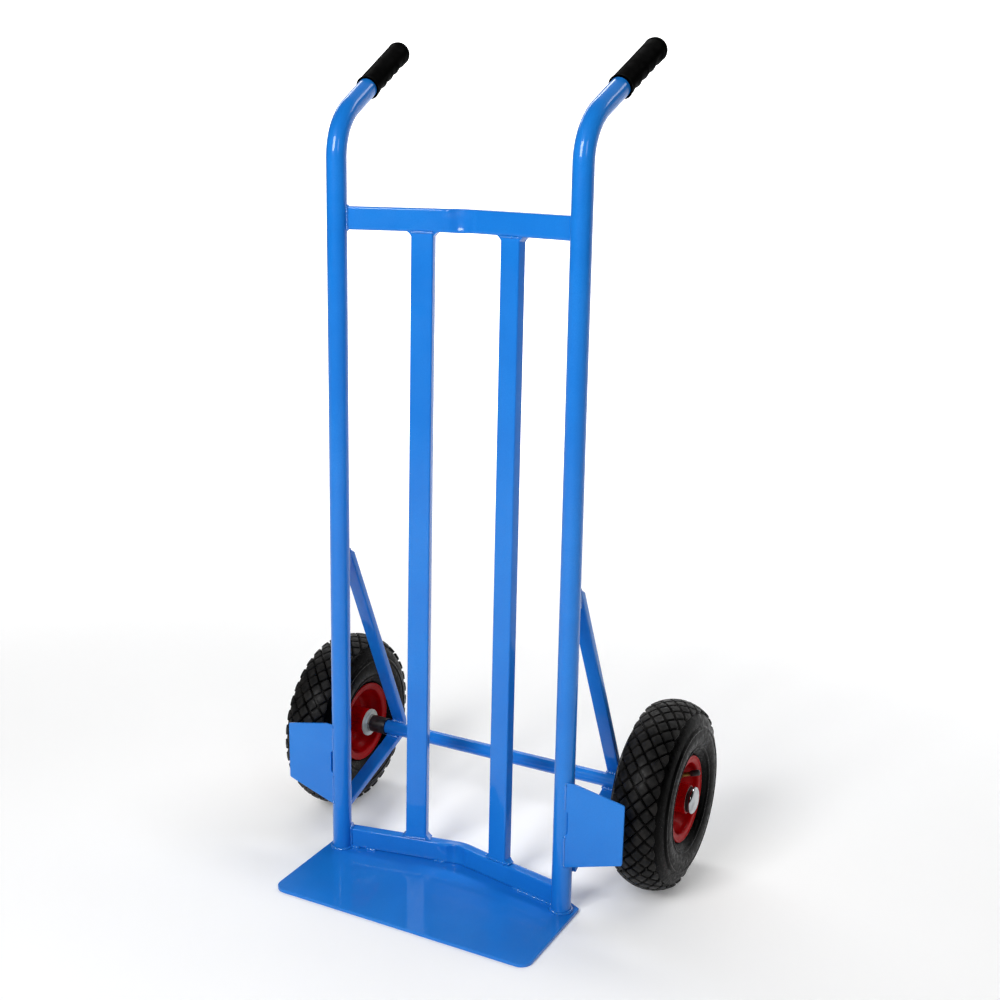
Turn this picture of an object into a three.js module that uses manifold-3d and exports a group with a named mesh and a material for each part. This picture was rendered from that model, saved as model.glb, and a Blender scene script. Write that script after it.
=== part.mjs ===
// Two-wheel hand truck with a welded steel frame, a flat toe plate and pneumatic wheels.
//
// Units are millimetres. X points to the right of somebody who faces the toe plate, Y points
// away from them, from the toe plate towards the axle, and Z points up. The origin is on the
// floor, midway between the side tubes and in the plane that holds their axes.

import * as THREE from 'three';
import { mergeVertices } from 'three/addons/utils/BufferGeometryUtils.js';
import Module from 'manifold-3d';

const wasm = await Module();
wasm.setup();

// ---------------------------------------------------------------------------------------
// Driving dimensions
// ---------------------------------------------------------------------------------------

const GAP = 0.3; // left between two pieces that touch or are welded
const WHEEL_SEGMENTS = 24; // facets around a tyre, its tube and its rim
const SMALL_SEGMENTS = 20; // facets around a side tube, shaft, bush or washer
const CUTTER_SEGMENTS = 36; // facets around the room cut for a side tube
const VALVE_SEGMENTS = 12; // facets around the valve's pieces
const CUT_MARGIN = 20; // how far a cutting shape reaches past what it cuts

// Side tubes and handles
const TUBE_RADIUS = 13.45;
const TUBE_WALL = 2;
const TUBE_X = 173.5;
const BEND_START_Z = 973.6;
const BEND_RADIUS = 74;
const BEND_STEPS = 7;
const BEND_ANGLE = THREE.MathUtils.degToRad(61.7);
const HANDLE_SPLAY = THREE.MathUtils.degToRad(4.8);
const HANDLE_STRAIGHT = 159; // from the end of the bend to the tube's end

// Grips
const GRIP_RADIUS = 16.2;
const GRIP_LENGTH = 115.5;
const GRIP_END_WALL = 9;
const GRIP_END_ROUNDING = 12;
const GRIP_MOUTH_CHAMFER = 1;

// Toe plate
const PLATE_THICKNESS = 5;
const PLATE_FRONT_Y = -141;
const PLATE_FRONT_HALF_WIDTH = 193;
const PLATE_REAR_HALF_WIDTH = 194;
const PLATE_REAR_Y = 14;
const PLATE_REAR_CHAMFER = [18, 10]; // across and back
const PLATE_CORNER_RADIUS = 17;
const PLATE_BEHIND_BAR = 10; // how far the plate reaches behind the bottom crossbar

// Crossbars and slats, all of the same rectangular tube
const BAR_HEIGHT = 30;
const BAR_DEPTH = 15;
const BAR_WALL = 1.5;
const BAR_CHAMFER = 1;
const TOP_BAR_Z = 883.5;
const TOP_BAR_SETBACK = 46; // how far the middle of the V lies behind its ends
const BOTTOM_BAR_Z = PLATE_THICKNESS + GAP;
const BOTTOM_BAR_SETBACK = 34.5;
const BAR_END_X = TUBE_X - 9;
const SLAT_TOP_X = 63;
const SLAT_BOTTOM_X = 64;

// Wheel guards. The outline is a list of [distance outboard, height].
const GUARD_THICKNESS = 3;
const GUARD_FRONT_Y = -11.5;
const GUARD_INNER_X = TUBE_X + 6;
const GUARD_TOE_BACK = THREE.MathUtils.degToRad(3.8);
const GUARD_BODY = [[0, 73], [80, 94.5], [81, 96], [81, 177], [79.5, 178.5], [14, 193.5], [0, 193.5]];
const GUARD_NOTCH = [[0, 155], [5, 152], [5, 122], [0, 119]];

// Struts, bent around the back of the axle: where their two straights start, meet and end
const STRUT_WIDTH = 20;
const STRUT_DEPTH = 10;
const STRUT_WALL = 1.5;
const STRUT_BEND_RADIUS = 19;
const STRUT_BEND_STEPS = 6;
const STRUT_TOP = [173.7, 0, 479.9];
const STRUT_CORNER = [177.3, 170.5, 123.2];
const STRUT_FOOT = [179.2, 9, 62.8];
const STRUT_CUT_Y = 24; // where the slanted cut across its top end starts
const STRUT_CUT_Z = 441.4;
const STRUT_CUT_SLANT = -0.54;

// Axle and its fittings. Places along it are measured outboard from a wheel's centre plane.
const WHEEL_DIAMETER = 260;
const WHEEL_CENTRE_X = 259;
const AXLE_RADIUS = 10;
const AXLE_Y = 146;
const AXLE_Z = WHEEL_DIAMETER / 2;
const AXLE_END = 43;
const FITTING_BORE = AXLE_RADIUS + GAP;
const SPACER = { start: -71.2, end: -45.3, radius: 12.5 };
const INNER_WASHER = { start: -45, end: -42.8, radius: 13.1 };
const OUTER_WASHER = { start: 35.3, end: 39.7, radius: 17.5 };
const CAP = { start: 40, height: 6.5, radius: 18.5, sheet: 1.2, steps: 3 };

// Wheels. Profiles are lists of [distance from the centre plane, radius].
const TYRE_OUTSIDE = [
  [21, 54.5], [21, 52], [28, 52], [28.4, 58.6], [37, 68], [42, 86], [40.4, 104],
  [32, 119.5], [16, 128.2], [7, WHEEL_DIAMETER / 2],
];
const TYRE_INSIDE = [[28, 58], [36, 74], [37.4, 92], [31, 111], [12, 121.6]];
const TUBE_NECK = [[8, 44.8], [19.5, 51], [20, 57]];
const TUBE_MIDDLE = 88; // the radius about which the air tube's section shrinks
const TUBE_FIT = 0.975;
const TUBE_SKIN = 0.945;
const RIM_TYRE_SIDE = [[31, 59], [29.3, 58.4], [28.6, 51.4], [21, 50.4], [9, 44]];
const RIM_WALL = [[2, 33], [4, 38], [10.5, 41.4], [22, 48], [30.4, 49.2], [31, 56.6], [32, 58]];
const RIM_DISC_HALF_THICKNESS = 2;
const HUB = { start: -37.2, end: 35, radius: 19.5, wall: 2.5 };
const BUSH_BORE = AXLE_RADIUS + 0.25;
const BUSH_LENGTH = 20;
const FLANGE = { start: -42.5, end: -37.5, radius: 20.2, chamfer: 1 };

// Valve: it leaves the rim's well, bends and runs outboard, away from the hub
const VALVE_ANGLE = THREE.MathUtils.degToRad(55); // behind the top of the wheel
const VALVE_BASE = [7, 44.2];
const VALVE_ELBOW = [7, 31];
const VALVE_TIP = [24.5, 38.7];
const VALVE_RADIUS = 3.2;
const VALVE_WALL = 1.4;
const VALVE_BEND_RADIUS = 4.2;
const VALVE_HOLE_RADIUS = 3.9;
const VALVE_TUBE_HOLE_RADIUS = 2.5;
const VALVE_CAP_RADIUS = 4.3;
const VALVE_CAP_LENGTH = 13.3;

const SIDES = [
  { name: 'left', sign: -1 },
  { name: 'right', sign: 1 },
];

// ---------------------------------------------------------------------------------------
// Finishes
// ---------------------------------------------------------------------------------------

const FINISHES = {
  bluePaint: { color: 0x2a78d8, roughness: 0.35, metalness: 0.1 },
  redPaint: { color: 0xa80c1c, roughness: 0.4, metalness: 0.1 },
  tyre: { color: 0x23221f, roughness: 0.8, metalness: 0 },
  innerTube: { color: 0x1b1b1b, roughness: 0.7, metalness: 0 },
  gripRubber: { color: 0x141416, roughness: 0.45, metalness: 0 },
  whiteNylon: { color: 0xb9bdb8, roughness: 0.5, metalness: 0 },
  blackPlastic: { color: 0x1c1a1e, roughness: 0.4, metalness: 0 },
  steel: { color: 0xb4b4b0, roughness: 0.35, metalness: 1 },
  chrome: { color: 0xd8d8d8, roughness: 0.1, metalness: 1 },
  brass: { color: 0x7a5a30, roughness: 0.4, metalness: 1 },
};

function piece(name, geometry, finish) {
  const mesh = new THREE.Mesh(geometry, new THREE.MeshStandardMaterial(FINISHES[finish]));
  mesh.name = name;
  return mesh;
}

// ---------------------------------------------------------------------------------------
// Geometry helpers
// ---------------------------------------------------------------------------------------

function toSolid(geometry) {
  const bare = new THREE.BufferGeometry();
  bare.setAttribute('position', geometry.getAttribute('position'));
  bare.setIndex(geometry.index);
  const merged = mergeVertices(bare, 1e-4);
  const corners = merged.index.array;
  const triangles = [];
  for (let i = 0; i < corners.length; i += 3) {
    const [a, b, c] = [corners[i], corners[i + 1], corners[i + 2]];
    if (a !== b && b !== c && c !== a) triangles.push(a, b, c);
  }
  const vertProperties = new Float32Array(merged.getAttribute('position').array);
  const triVerts = new Uint32Array(triangles);
  return new wasm.Manifold(new wasm.Mesh({ numProp: 3, vertProperties, triVerts }));
}

function toGeometry(solid) {
  const mesh = solid.getMesh();
  const geometry = new THREE.BufferGeometry();
  geometry.setAttribute('position', new THREE.Float32BufferAttribute(mesh.vertProperties, 3));
  geometry.setIndex(new THREE.Uint32BufferAttribute(mesh.triVerts, 1));
  geometry.computeVertexNormals();
  return geometry;
}

function cut(geometry, ...tools) {
  let solid = toSolid(geometry);
  for (const tool of tools) solid = solid.subtract(toSolid(tool));
  return toGeometry(solid);
}

// A body of revolution about X. The profile is a list of [distance along X, radius].
function revolve(profile, segments = WHEEL_SEGMENTS) {
  const points = profile.map(([along, radius]) => new THREE.Vector2(radius, along));
  if (THREE.ShapeUtils.area(points) < 0) points.reverse();
  const first = points[0];
  if (first.x > 0) points.push(first.clone());
  return new THREE.LatheGeometry(points, segments).rotateZ(-Math.PI / 2);
}

// A ring about X with a rectangular section.
function ring({ start, end, radius }, bore) {
  return revolve([[start, bore], [start, radius], [end, radius], [end, bore]], SMALL_SEGMENTS);
}

function rod(radius, start, end, segments = SMALL_SEGMENTS) {
  const length = start.distanceTo(end);
  const along = end.clone().sub(start).normalize();
  const turn = new THREE.Quaternion().setFromUnitVectors(new THREE.Vector3(0, 1, 0), along);
  const middle = start.clone().add(end).multiplyScalar(0.5);
  return new THREE.CylinderGeometry(radius, radius, length, segments)
    .applyQuaternion(turn)
    .translate(middle.x, middle.y, middle.z);
}

function roundSection(radius, wall, sides) {
  const shape = new THREE.Shape();
  const hole = new THREE.Path();
  for (let i = 0; i < sides; i++) {
    const angle = (2 * Math.PI * i) / sides;
    const [x, y] = [Math.cos(angle), Math.sin(angle)];
    if (i === 0) {
      shape.moveTo(radius * x, radius * y);
      hole.moveTo((radius - wall) * x, (radius - wall) * y);
    } else {
      shape.lineTo(radius * x, radius * y);
      hole.lineTo((radius - wall) * x, (radius - wall) * y);
    }
  }
  if (wall) shape.holes.push(hole);
  return shape;
}

function boxOutline(path, width, depth, chamfer) {
  const [w, d, c] = [width / 2, depth / 2, chamfer];
  path.moveTo(-w + c, -d);
  path.lineTo(w - c, -d);
  path.lineTo(w, -d + c);
  path.lineTo(w, d - c);
  path.lineTo(w - c, d);
  path.lineTo(-w + c, d);
  path.lineTo(-w, d - c);
  path.lineTo(-w, -d + c);
  return path;
}

function boxSection(width, depth, wall) {
  const shape = boxOutline(new THREE.Shape(), width, depth, BAR_CHAMFER);
  const [innerWidth, innerDepth] = [width - 2 * wall, depth - 2 * wall];
  shape.holes.push(boxOutline(new THREE.Path(), innerWidth, innerDepth, BAR_CHAMFER / 2));
  return shape;
}

// Two straight lines joined by an arc. Its parameter runs from one station to the next in
// equal steps: start, beginning of the arc, points on the arc, end of the arc, end.
class BentPath extends THREE.Curve {
  constructor(start, corner, end, radius, arcSteps) {
    super();
    const inward = corner.clone().sub(start).normalize();
    const outward = end.clone().sub(corner).normalize();
    const turn = inward.angleTo(outward);
    const setback = radius * Math.tan(turn / 2);
    const arcStart = corner.clone().addScaledVector(inward, -setback);
    const side = outward.clone().addScaledVector(inward, -outward.dot(inward)).normalize();
    this.stations = [start];
    for (let i = 0; i <= arcSteps; i++) {
      const angle = (turn * i) / arcSteps;
      const point = arcStart.clone().addScaledVector(inward, radius * Math.sin(angle));
      this.stations.push(point.addScaledVector(side, radius * (1 - Math.cos(angle))));
    }
    this.stations.push(end);
    this.tangents = this.stations.map((_, i) => {
      const angle = turn * THREE.MathUtils.clamp((i - 1) / arcSteps, 0, 1);
      return inward.clone().multiplyScalar(Math.cos(angle)).addScaledVector(side, Math.sin(angle));
    });
    this.steps = this.stations.length - 1;
  }

  getUtoTmapping(u) {
    return u;
  }

  getPoint(t) {
    const i = Math.min(Math.floor(t * this.steps + 1e-9), this.steps - 1);
    return this.stations[i].clone().lerp(this.stations[i + 1], t * this.steps - i);
  }

  getTangent(t) {
    return this.tangents[Math.round(t * this.steps)].clone();
  }
}

function sweep(section, path) {
  return new THREE.ExtrudeGeometry(section, {
    extrudePath: path,
    steps: path.steps,
    bevelEnabled: false,
  });
}

function point(x, y, z) {
  return new THREE.Vector3(x, y, z);
}

// The room that a side tube takes, for cutting what is welded to it.
function tubeRoom(sign) {
  const x = sign * TUBE_X;
  const [low, high] = [point(x, 0, -CUT_MARGIN), point(x, 0, BEND_START_Z - CUT_MARGIN)];
  return rod(TUBE_RADIUS + GAP, low, high, CUTTER_SEGMENTS);
}

// ---------------------------------------------------------------------------------------
// Frame
// ---------------------------------------------------------------------------------------

// The direction of a handle after its bend, and the point where its two straights would meet.
function handleLine(sign) {
  const direction = point(
    sign * Math.sin(BEND_ANGLE) * Math.sin(HANDLE_SPLAY),
    Math.sin(BEND_ANGLE) * Math.cos(HANDLE_SPLAY),
    Math.cos(BEND_ANGLE),
  );
  const setback = BEND_RADIUS * Math.tan(BEND_ANGLE / 2);
  const corner = point(sign * TUBE_X, 0, BEND_START_Z + setback);
  const end = corner.clone().addScaledVector(direction, setback + HANDLE_STRAIGHT);
  return { corner, direction, end };
}

function sideTube({ name, sign }) {
  const { corner, end } = handleLine(sign);
  const foot = point(sign * TUBE_X, 0, PLATE_THICKNESS + GAP);
  const path = new BentPath(foot, corner, end, BEND_RADIUS, BEND_STEPS);
  const section = roundSection(TUBE_RADIUS, TUBE_WALL, SMALL_SEGMENTS);
  return piece(`${name}_side_tube`, sweep(section, path), 'bluePaint');
}

// A sleeve with a domed closed end, pushed over the end of a side tube.
function grip({ name, sign }) {
  const bore = TUBE_RADIUS + GAP;
  const boreEnd = GRIP_LENGTH - GRIP_END_WALL;
  const [round, steps] = [GRIP_END_ROUNDING, 4];
  const profile = [[0, bore], [0, GRIP_RADIUS - GRIP_MOUTH_CHAMFER], [GRIP_MOUTH_CHAMFER, GRIP_RADIUS]];
  for (let i = 0; i <= steps; i++) {
    const angle = (Math.PI / 2) * (i / steps);
    const along = GRIP_LENGTH - round * (1 - Math.sin(angle));
    profile.push([along, GRIP_RADIUS - round * (1 - Math.cos(angle))]);
  }
  profile.push([GRIP_LENGTH, 0], [boreEnd, 0], [boreEnd, bore]);
  const axisFirst = [...profile.slice(-2), ...profile.slice(0, -2)];
  const { direction, end } = handleLine(sign);
  const turn = new THREE.Quaternion().setFromUnitVectors(new THREE.Vector3(1, 0, 0), direction);
  const mouth = end.clone().addScaledVector(direction, GAP - boreEnd);
  const geometry = revolve(axisFirst, SMALL_SEGMENTS).applyQuaternion(turn);
  return piece(`${name}_grip`, geometry.translate(mouth.x, mouth.y, mouth.z), 'gripRubber');
}

function toePlate() {
  const tipY = BOTTOM_BAR_SETBACK + BAR_DEPTH + PLATE_BEHIND_BAR;
  const [front, rear, r] = [PLATE_FRONT_HALF_WIDTH, PLATE_REAR_HALF_WIDTH, PLATE_CORNER_RADIUS];
  const [across, back] = PLATE_REAR_CHAMFER;
  const shape = new THREE.Shape();
  shape.moveTo(-front + r, PLATE_FRONT_Y);
  shape.lineTo(front - r, PLATE_FRONT_Y);
  shape.absarc(front - r, PLATE_FRONT_Y + r, r, -Math.PI / 2, 0, false);
  shape.lineTo(rear, PLATE_REAR_Y);
  shape.lineTo(rear - across, PLATE_REAR_Y + back);
  shape.lineTo(0, tipY);
  shape.lineTo(-rear + across, PLATE_REAR_Y + back);
  shape.lineTo(-rear, PLATE_REAR_Y);
  shape.lineTo(-front, PLATE_FRONT_Y + r);
  shape.absarc(-front + r, PLATE_FRONT_Y + r, r, Math.PI, 1.5 * Math.PI, false);
  const geometry = new THREE.ExtrudeGeometry(shape, {
    depth: PLATE_THICKNESS,
    bevelEnabled: false,
    curveSegments: 8,
  });
  return piece('toe_plate', geometry, 'bluePaint');
}

// The angle by which each half of a V-shaped crossbar runs back from the frame's plane.
function vAngle(setback) {
  return Math.atan(setback / TUBE_X);
}

// The solid between the faces of such a bar, each moved inwards by an inset.
function vPrism(setback, inset, endX, low, high) {
  const slope = setback / TUBE_X;
  const slant = 1 / Math.cos(vAngle(setback));
  const front = (x) => (TUBE_X - x) * slope + inset * slant;
  const back = (x) => (TUBE_X - x) * slope + (BAR_DEPTH - inset) * slant;
  const shape = new THREE.Shape();
  shape.moveTo(-endX, front(endX));
  shape.lineTo(0, front(0));
  shape.lineTo(endX, front(endX));
  shape.lineTo(endX, back(endX));
  shape.lineTo(0, back(0));
  shape.lineTo(-endX, back(endX));
  return new THREE.ExtrudeGeometry(shape, { depth: high - low, bevelEnabled: false })
    .translate(0, 0, low);
}

// A rectangular tube bent back in the middle, its ends coped to the side tubes.
function crossbar(name, setback, low) {
  const high = low + BAR_HEIGHT;
  const outer = vPrism(setback, 0, BAR_END_X, low, high);
  const reach = BAR_END_X + CUT_MARGIN;
  const inner = vPrism(setback, BAR_WALL, reach, low + BAR_WALL, high - BAR_WALL);
  return piece(name, cut(outer, inner, tubeRoom(-1), tubeRoom(1)), 'bluePaint');
}

// An upright between the crossbars, its front face flush with theirs.
function slat({ name, sign }) {
  const angle = (vAngle(TOP_BAR_SETBACK) + vAngle(BOTTOM_BAR_SETBACK)) / 2;
  const low = BOTTOM_BAR_Z + BAR_HEIGHT + GAP;
  const high = TOP_BAR_Z - GAP;
  const centre = (x, setback) => {
    const frontY = setback * (1 - x / TUBE_X);
    const back = BAR_DEPTH / 2;
    return [sign * (x + back * Math.sin(angle)), frontY + back * Math.cos(angle)];
  };
  const [x0, y0] = centre(SLAT_BOTTOM_X, BOTTOM_BAR_SETBACK);
  const [x1, y1] = centre(SLAT_TOP_X, TOP_BAR_SETBACK);
  const [leanX, leanY] = [(x1 - x0) / (high - low), (y1 - y0) / (high - low)];
  const lean = new THREE.Matrix4().makeShear(0, 0, 0, 0, leanX, leanY);
  const geometry = new THREE.ExtrudeGeometry(boxSection(BAR_HEIGHT, BAR_DEPTH, BAR_WALL), {
    depth: high - low,
    bevelEnabled: false,
  });
  geometry.rotateZ(-sign * angle).applyMatrix4(lean).translate(x0, y0, low);
  return piece(`${name}_slat`, geometry, 'bluePaint');
}

// A plate in front of a wheel, tall beside the tube and lower at its outer edge, with a notch
// in its inner edge where it stands clear of the tube.
function wheelGuard({ name, sign }) {
  const outline = [...GUARD_BODY, ...GUARD_NOTCH];
  const shape = new THREE.Shape(outline.map(([x, z]) => new THREE.Vector2(x, z)));
  const geometry = new THREE.ExtrudeGeometry(shape, {
    depth: GUARD_THICKNESS,
    bevelEnabled: false,
  });
  geometry.rotateX(Math.PI / 2).translate(0, GUARD_THICKNESS, 0);
  if (sign < 0) geometry.rotateZ(Math.PI).translate(0, GUARD_THICKNESS, 0);
  geometry.rotateZ(sign * GUARD_TOE_BACK);
  geometry.translate(sign * GUARD_INNER_X, GUARD_FRONT_Y, 0);
  return piece(`${name}_wheel_guard`, cut(geometry, tubeRoom(sign)), 'bluePaint');
}

// A rectangular tube that runs from high on the side tube down to the back of the axle, bends
// around it and returns to the foot of the side tube. It carries the axle.
function strut({ name, sign }) {
  const [top, corner, foot] = [STRUT_TOP, STRUT_CORNER, STRUT_FOOT]
    .map(([x, y, z]) => point(sign * x, y, z));
  const path = new BentPath(top, corner, foot, STRUT_BEND_RADIUS, STRUT_BEND_STEPS);
  const body = sweep(boxSection(STRUT_WIDTH, STRUT_DEPTH, STRUT_WALL), path);
  const reach = corner.x + sign * CUT_MARGIN;
  const axleRoom = rod(FITTING_BORE, point(0, AXLE_Y, AXLE_Z), point(reach, AXLE_Y, AXLE_Z));
  const size = 2 * STRUT_WIDTH + CUT_MARGIN;
  const crop = new THREE.BoxGeometry(size, size + CUT_MARGIN, size).translate(0, 0, size / 2);
  crop.rotateX(STRUT_CUT_SLANT).translate(sign * TUBE_X, STRUT_CUT_Y, STRUT_CUT_Z);
  return piece(`${name}_strut`, cut(body, crop, axleRoom, tubeRoom(sign)), 'bluePaint');
}

// ---------------------------------------------------------------------------------------
// Axle and what is fixed to it
// ---------------------------------------------------------------------------------------

function axleBar() {
  const end = WHEEL_CENTRE_X + AXLE_END;
  const bar = rod(AXLE_RADIUS, point(-end, 0, 0), point(end, 0, 0));
  return piece('axle_bar', bar.translate(0, AXLE_Y, AXLE_Z), 'bluePaint');
}

// The pieces on one end of the axle, in the wheel's own frame: X runs outboard from its centre.
function axleFittings(name) {
  return [
    piece(`${name}_axle_spacer`, ring(SPACER, FITTING_BORE), 'blackPlastic'),
    piece(`${name}_inner_washer`, ring(INNER_WASHER, FITTING_BORE), 'steel'),
    piece(`${name}_outer_washer`, ring(OUTER_WASHER, FITTING_BORE), 'blackPlastic'),
    piece(`${name}_axle_cap`, domedCap(CAP), 'chrome'),
  ];
}

// A push-on cap: a dome with a flange behind it that grips the axle.
function domedCap({ start, height, radius, sheet, steps }) {
  const profile = [[start + height, 0]];
  for (let i = 1; i <= steps; i++) {
    const angle = (Math.PI / 2) * (i / steps);
    profile.push([start + sheet + (height - sheet) * Math.cos(angle), radius * Math.sin(angle)]);
  }
  profile.push([start, radius], [start, FITTING_BORE], [start + sheet, FITTING_BORE]);
  for (let i = steps; i >= 1; i--) {
    const angle = (Math.PI / 2) * (i / steps);
    const across = (radius - sheet) * Math.sin(angle);
    profile.push([start + sheet + (height - 2 * sheet) * Math.cos(angle), across]);
  }
  profile.push([start + height - sheet, 0]);
  return revolve(profile, SMALL_SEGMENTS);
}

// ---------------------------------------------------------------------------------------
// Wheel, in its own frame: X runs outboard along the axle from the wheel's centre
// ---------------------------------------------------------------------------------------

function mirrored(half) {
  return [...half, ...half.map(([along, radius]) => [-along, radius]).reverse()];
}

function tyre() {
  return revolve([...mirrored(TYRE_OUTSIDE), ...mirrored(TYRE_INSIDE).reverse()]);
}

// The air tube fills the space between tyre and rim. The valve's hole opens its hollow.
function innerTube() {
  const shrinkBy = (scale) => ([along, radius]) => [
    along * scale,
    TUBE_MIDDLE + (radius - TUBE_MIDDLE) * scale,
  ];
  const outside = mirrored([...TUBE_NECK, ...TYRE_INSIDE.map(shrinkBy(TUBE_FIT))]);
  const hollow = revolve(outside.map(shrinkBy(TUBE_SKIN)));
  return cut(revolve(outside), hollow, valveRoom(VALVE_TUBE_HOLE_RADIUS));
}

// A place on the radius that the valve lies on.
function atValve([along, radius]) {
  return point(along, radius * Math.sin(VALVE_ANGLE), radius * Math.cos(VALVE_ANGLE));
}

function valveRoom(radius) {
  const [along, base] = VALVE_BASE;
  const [low, high] = [base - CUT_MARGIN / 2, base + CUT_MARGIN / 2];
  return rod(radius, atValve([along, low]), atValve([along, high]), VALVE_SEGMENTS);
}

// A pressed steel rim: two flanges, a well between them, and a disc that carries the hub.
function rim() {
  const boreEdge = [RIM_DISC_HALF_THICKNESS, HUB.radius + GAP];
  const profile = mirrored([boreEdge, ...RIM_WALL, ...RIM_TYRE_SIDE]);
  return cut(revolve(profile), valveRoom(VALVE_HOLE_RADIUS));
}

function hubTube() {
  return ring(HUB, HUB.radius - HUB.wall);
}

// The inboard bush has a flange that covers the end of the hub.
function innerBush() {
  const sleeve = HUB.radius - HUB.wall - GAP;
  const { start, end, radius, chamfer } = FLANGE;
  return revolve([
    [start, BUSH_BORE], [start, radius - chamfer], [start + chamfer, radius], [end, radius],
    [end, sleeve], [end + BUSH_LENGTH, sleeve], [end + BUSH_LENGTH, BUSH_BORE],
  ], SMALL_SEGMENTS);
}

// The outboard bush is a plain sleeve in the mouth of the hub.
function outerBush() {
  const radius = HUB.radius - HUB.wall - GAP;
  return ring({ start: HUB.end - BUSH_LENGTH, end: HUB.end, radius }, BUSH_BORE);
}

function valveStem() {
  const [base, elbow, tip] = [VALVE_BASE, VALVE_ELBOW, VALVE_TIP].map(atValve);
  const path = new BentPath(base, elbow, tip, VALVE_BEND_RADIUS, 4);
  return sweep(roundSection(VALVE_RADIUS, VALVE_WALL, VALVE_SEGMENTS), path);
}

function valveCap() {
  const [elbow, tip] = [VALVE_ELBOW, VALVE_TIP].map(atValve);
  const along = tip.clone().sub(elbow).normalize();
  const start = tip.clone().addScaledVector(along, GAP);
  const end = start.clone().addScaledVector(along, VALVE_CAP_LENGTH);
  return rod(VALVE_CAP_RADIUS, start, end, VALVE_SEGMENTS);
}

function wheel(name) {
  return [
    piece(`${name}_tyre`, tyre(), 'tyre'),
    piece(`${name}_inner_tube`, innerTube(), 'innerTube'),
    piece(`${name}_rim`, rim(), 'redPaint'),
    piece(`${name}_hub`, hubTube(), 'redPaint'),
    piece(`${name}_inner_bush`, innerBush(), 'whiteNylon'),
    piece(`${name}_outer_bush`, outerBush(), 'whiteNylon'),
    piece(`${name}_valve_stem`, valveStem(), 'brass'),
    piece(`${name}_valve_cap`, valveCap(), 'blackPlastic'),
  ];
}

// ---------------------------------------------------------------------------------------
// Assembly
// ---------------------------------------------------------------------------------------

const handTruck = new THREE.Group();
handTruck.add(toePlate());
handTruck.add(crossbar('top_crossbar', TOP_BAR_SETBACK, TOP_BAR_Z));
handTruck.add(crossbar('bottom_crossbar', BOTTOM_BAR_SETBACK, BOTTOM_BAR_Z));
handTruck.add(axleBar());

for (const side of SIDES) {
  handTruck.add(sideTube(side), grip(side), slat(side), wheelGuard(side), strut(side));
  const axleEnd = new THREE.Group();
  axleEnd.add(...axleFittings(side.name), ...wheel(side.name));
  axleEnd.position.set(side.sign * WHEEL_CENTRE_X, AXLE_Y, AXLE_Z);
  axleEnd.rotation.z = side.sign > 0 ? 0 : Math.PI;
  handTruck.add(axleEnd);
}

export default handTruck;
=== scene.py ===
from math import atan, ceil, cos, exp, hypot, pi, radians, sin, sqrt, tan

import bmesh
import bpy
from mathutils import Matrix, Vector, noise


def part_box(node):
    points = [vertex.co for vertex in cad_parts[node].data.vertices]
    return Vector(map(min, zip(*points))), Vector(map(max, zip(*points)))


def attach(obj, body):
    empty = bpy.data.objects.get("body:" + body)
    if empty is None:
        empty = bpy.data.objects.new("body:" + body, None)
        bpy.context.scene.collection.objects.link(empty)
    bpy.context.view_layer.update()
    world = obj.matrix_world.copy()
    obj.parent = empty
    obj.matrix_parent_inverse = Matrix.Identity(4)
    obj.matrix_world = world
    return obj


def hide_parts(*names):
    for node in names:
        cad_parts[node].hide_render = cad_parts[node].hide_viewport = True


# A two-wheel hand truck: welded blue steel frame, toe plate, rubber grips and two pneumatic
# wheels. Pieces are built in millimetres in the frame's own axes and scaled to metres as
# they are added. X is to the right of somebody facing the toe plate, Y away, Z up.

MM = 0.001

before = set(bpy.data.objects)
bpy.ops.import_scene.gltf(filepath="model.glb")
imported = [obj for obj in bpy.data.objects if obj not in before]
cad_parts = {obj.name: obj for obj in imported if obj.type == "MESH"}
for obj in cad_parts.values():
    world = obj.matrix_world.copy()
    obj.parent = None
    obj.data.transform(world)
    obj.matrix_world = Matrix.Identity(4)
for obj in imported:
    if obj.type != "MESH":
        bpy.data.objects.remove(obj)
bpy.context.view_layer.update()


# ---- Places and sizes, in millimetres ----

def box(node):
    """Lowest and highest corner of a CAD node, in millimetres."""
    low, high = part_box(node)
    return low / MM, high / MM


def middle(node):
    low, high = box(node)
    return (low + high) / 2


SIDES = (("left", -1), ("right", 1))

# Side tubes and handles
TUBE_RADIUS = 13.45
TUBE_X = box("right_side_tube")[0].x + TUBE_RADIUS
TUBE_SIDES = 48
BEND_START_Z = 973.6
BEND_RADIUS = 74.0
BEND_ANGLE = radians(61.7)
HANDLE_SPLAY = radians(4.8)
HANDLE_STRAIGHT = 159.0
BEND_STEPS = 30

# Grips
GRIP_RADIUS = 15.7
GRIP_LENGTH = 115.5
GRIP_MOUTH = 52.8  # from the end of the bend to the grip's open end
GRIP_END_ROUNDING = 11.5
GRIP_FIT = 0.15  # between the tube and the grip's bore
GRIP_LIP = 0.7  # at its mouth: height, place and width
GRIP_LIP_AT = 1.2
GRIP_LIP_WIDTH = 1.3
GRIP_RING = 0.4  # where the end's rounding starts
GRIP_RING_WIDTH = 1.5
GRIP_STEP = 1.5
GRIP_INSIDE = (6.0, 0.3)  # where its bore starts and ends
FINGER_COUNT = 4
FINGER_PITCH = 20.5
FINGER_START = 9.0
FINGER_DEPTH = 1.7

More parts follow.
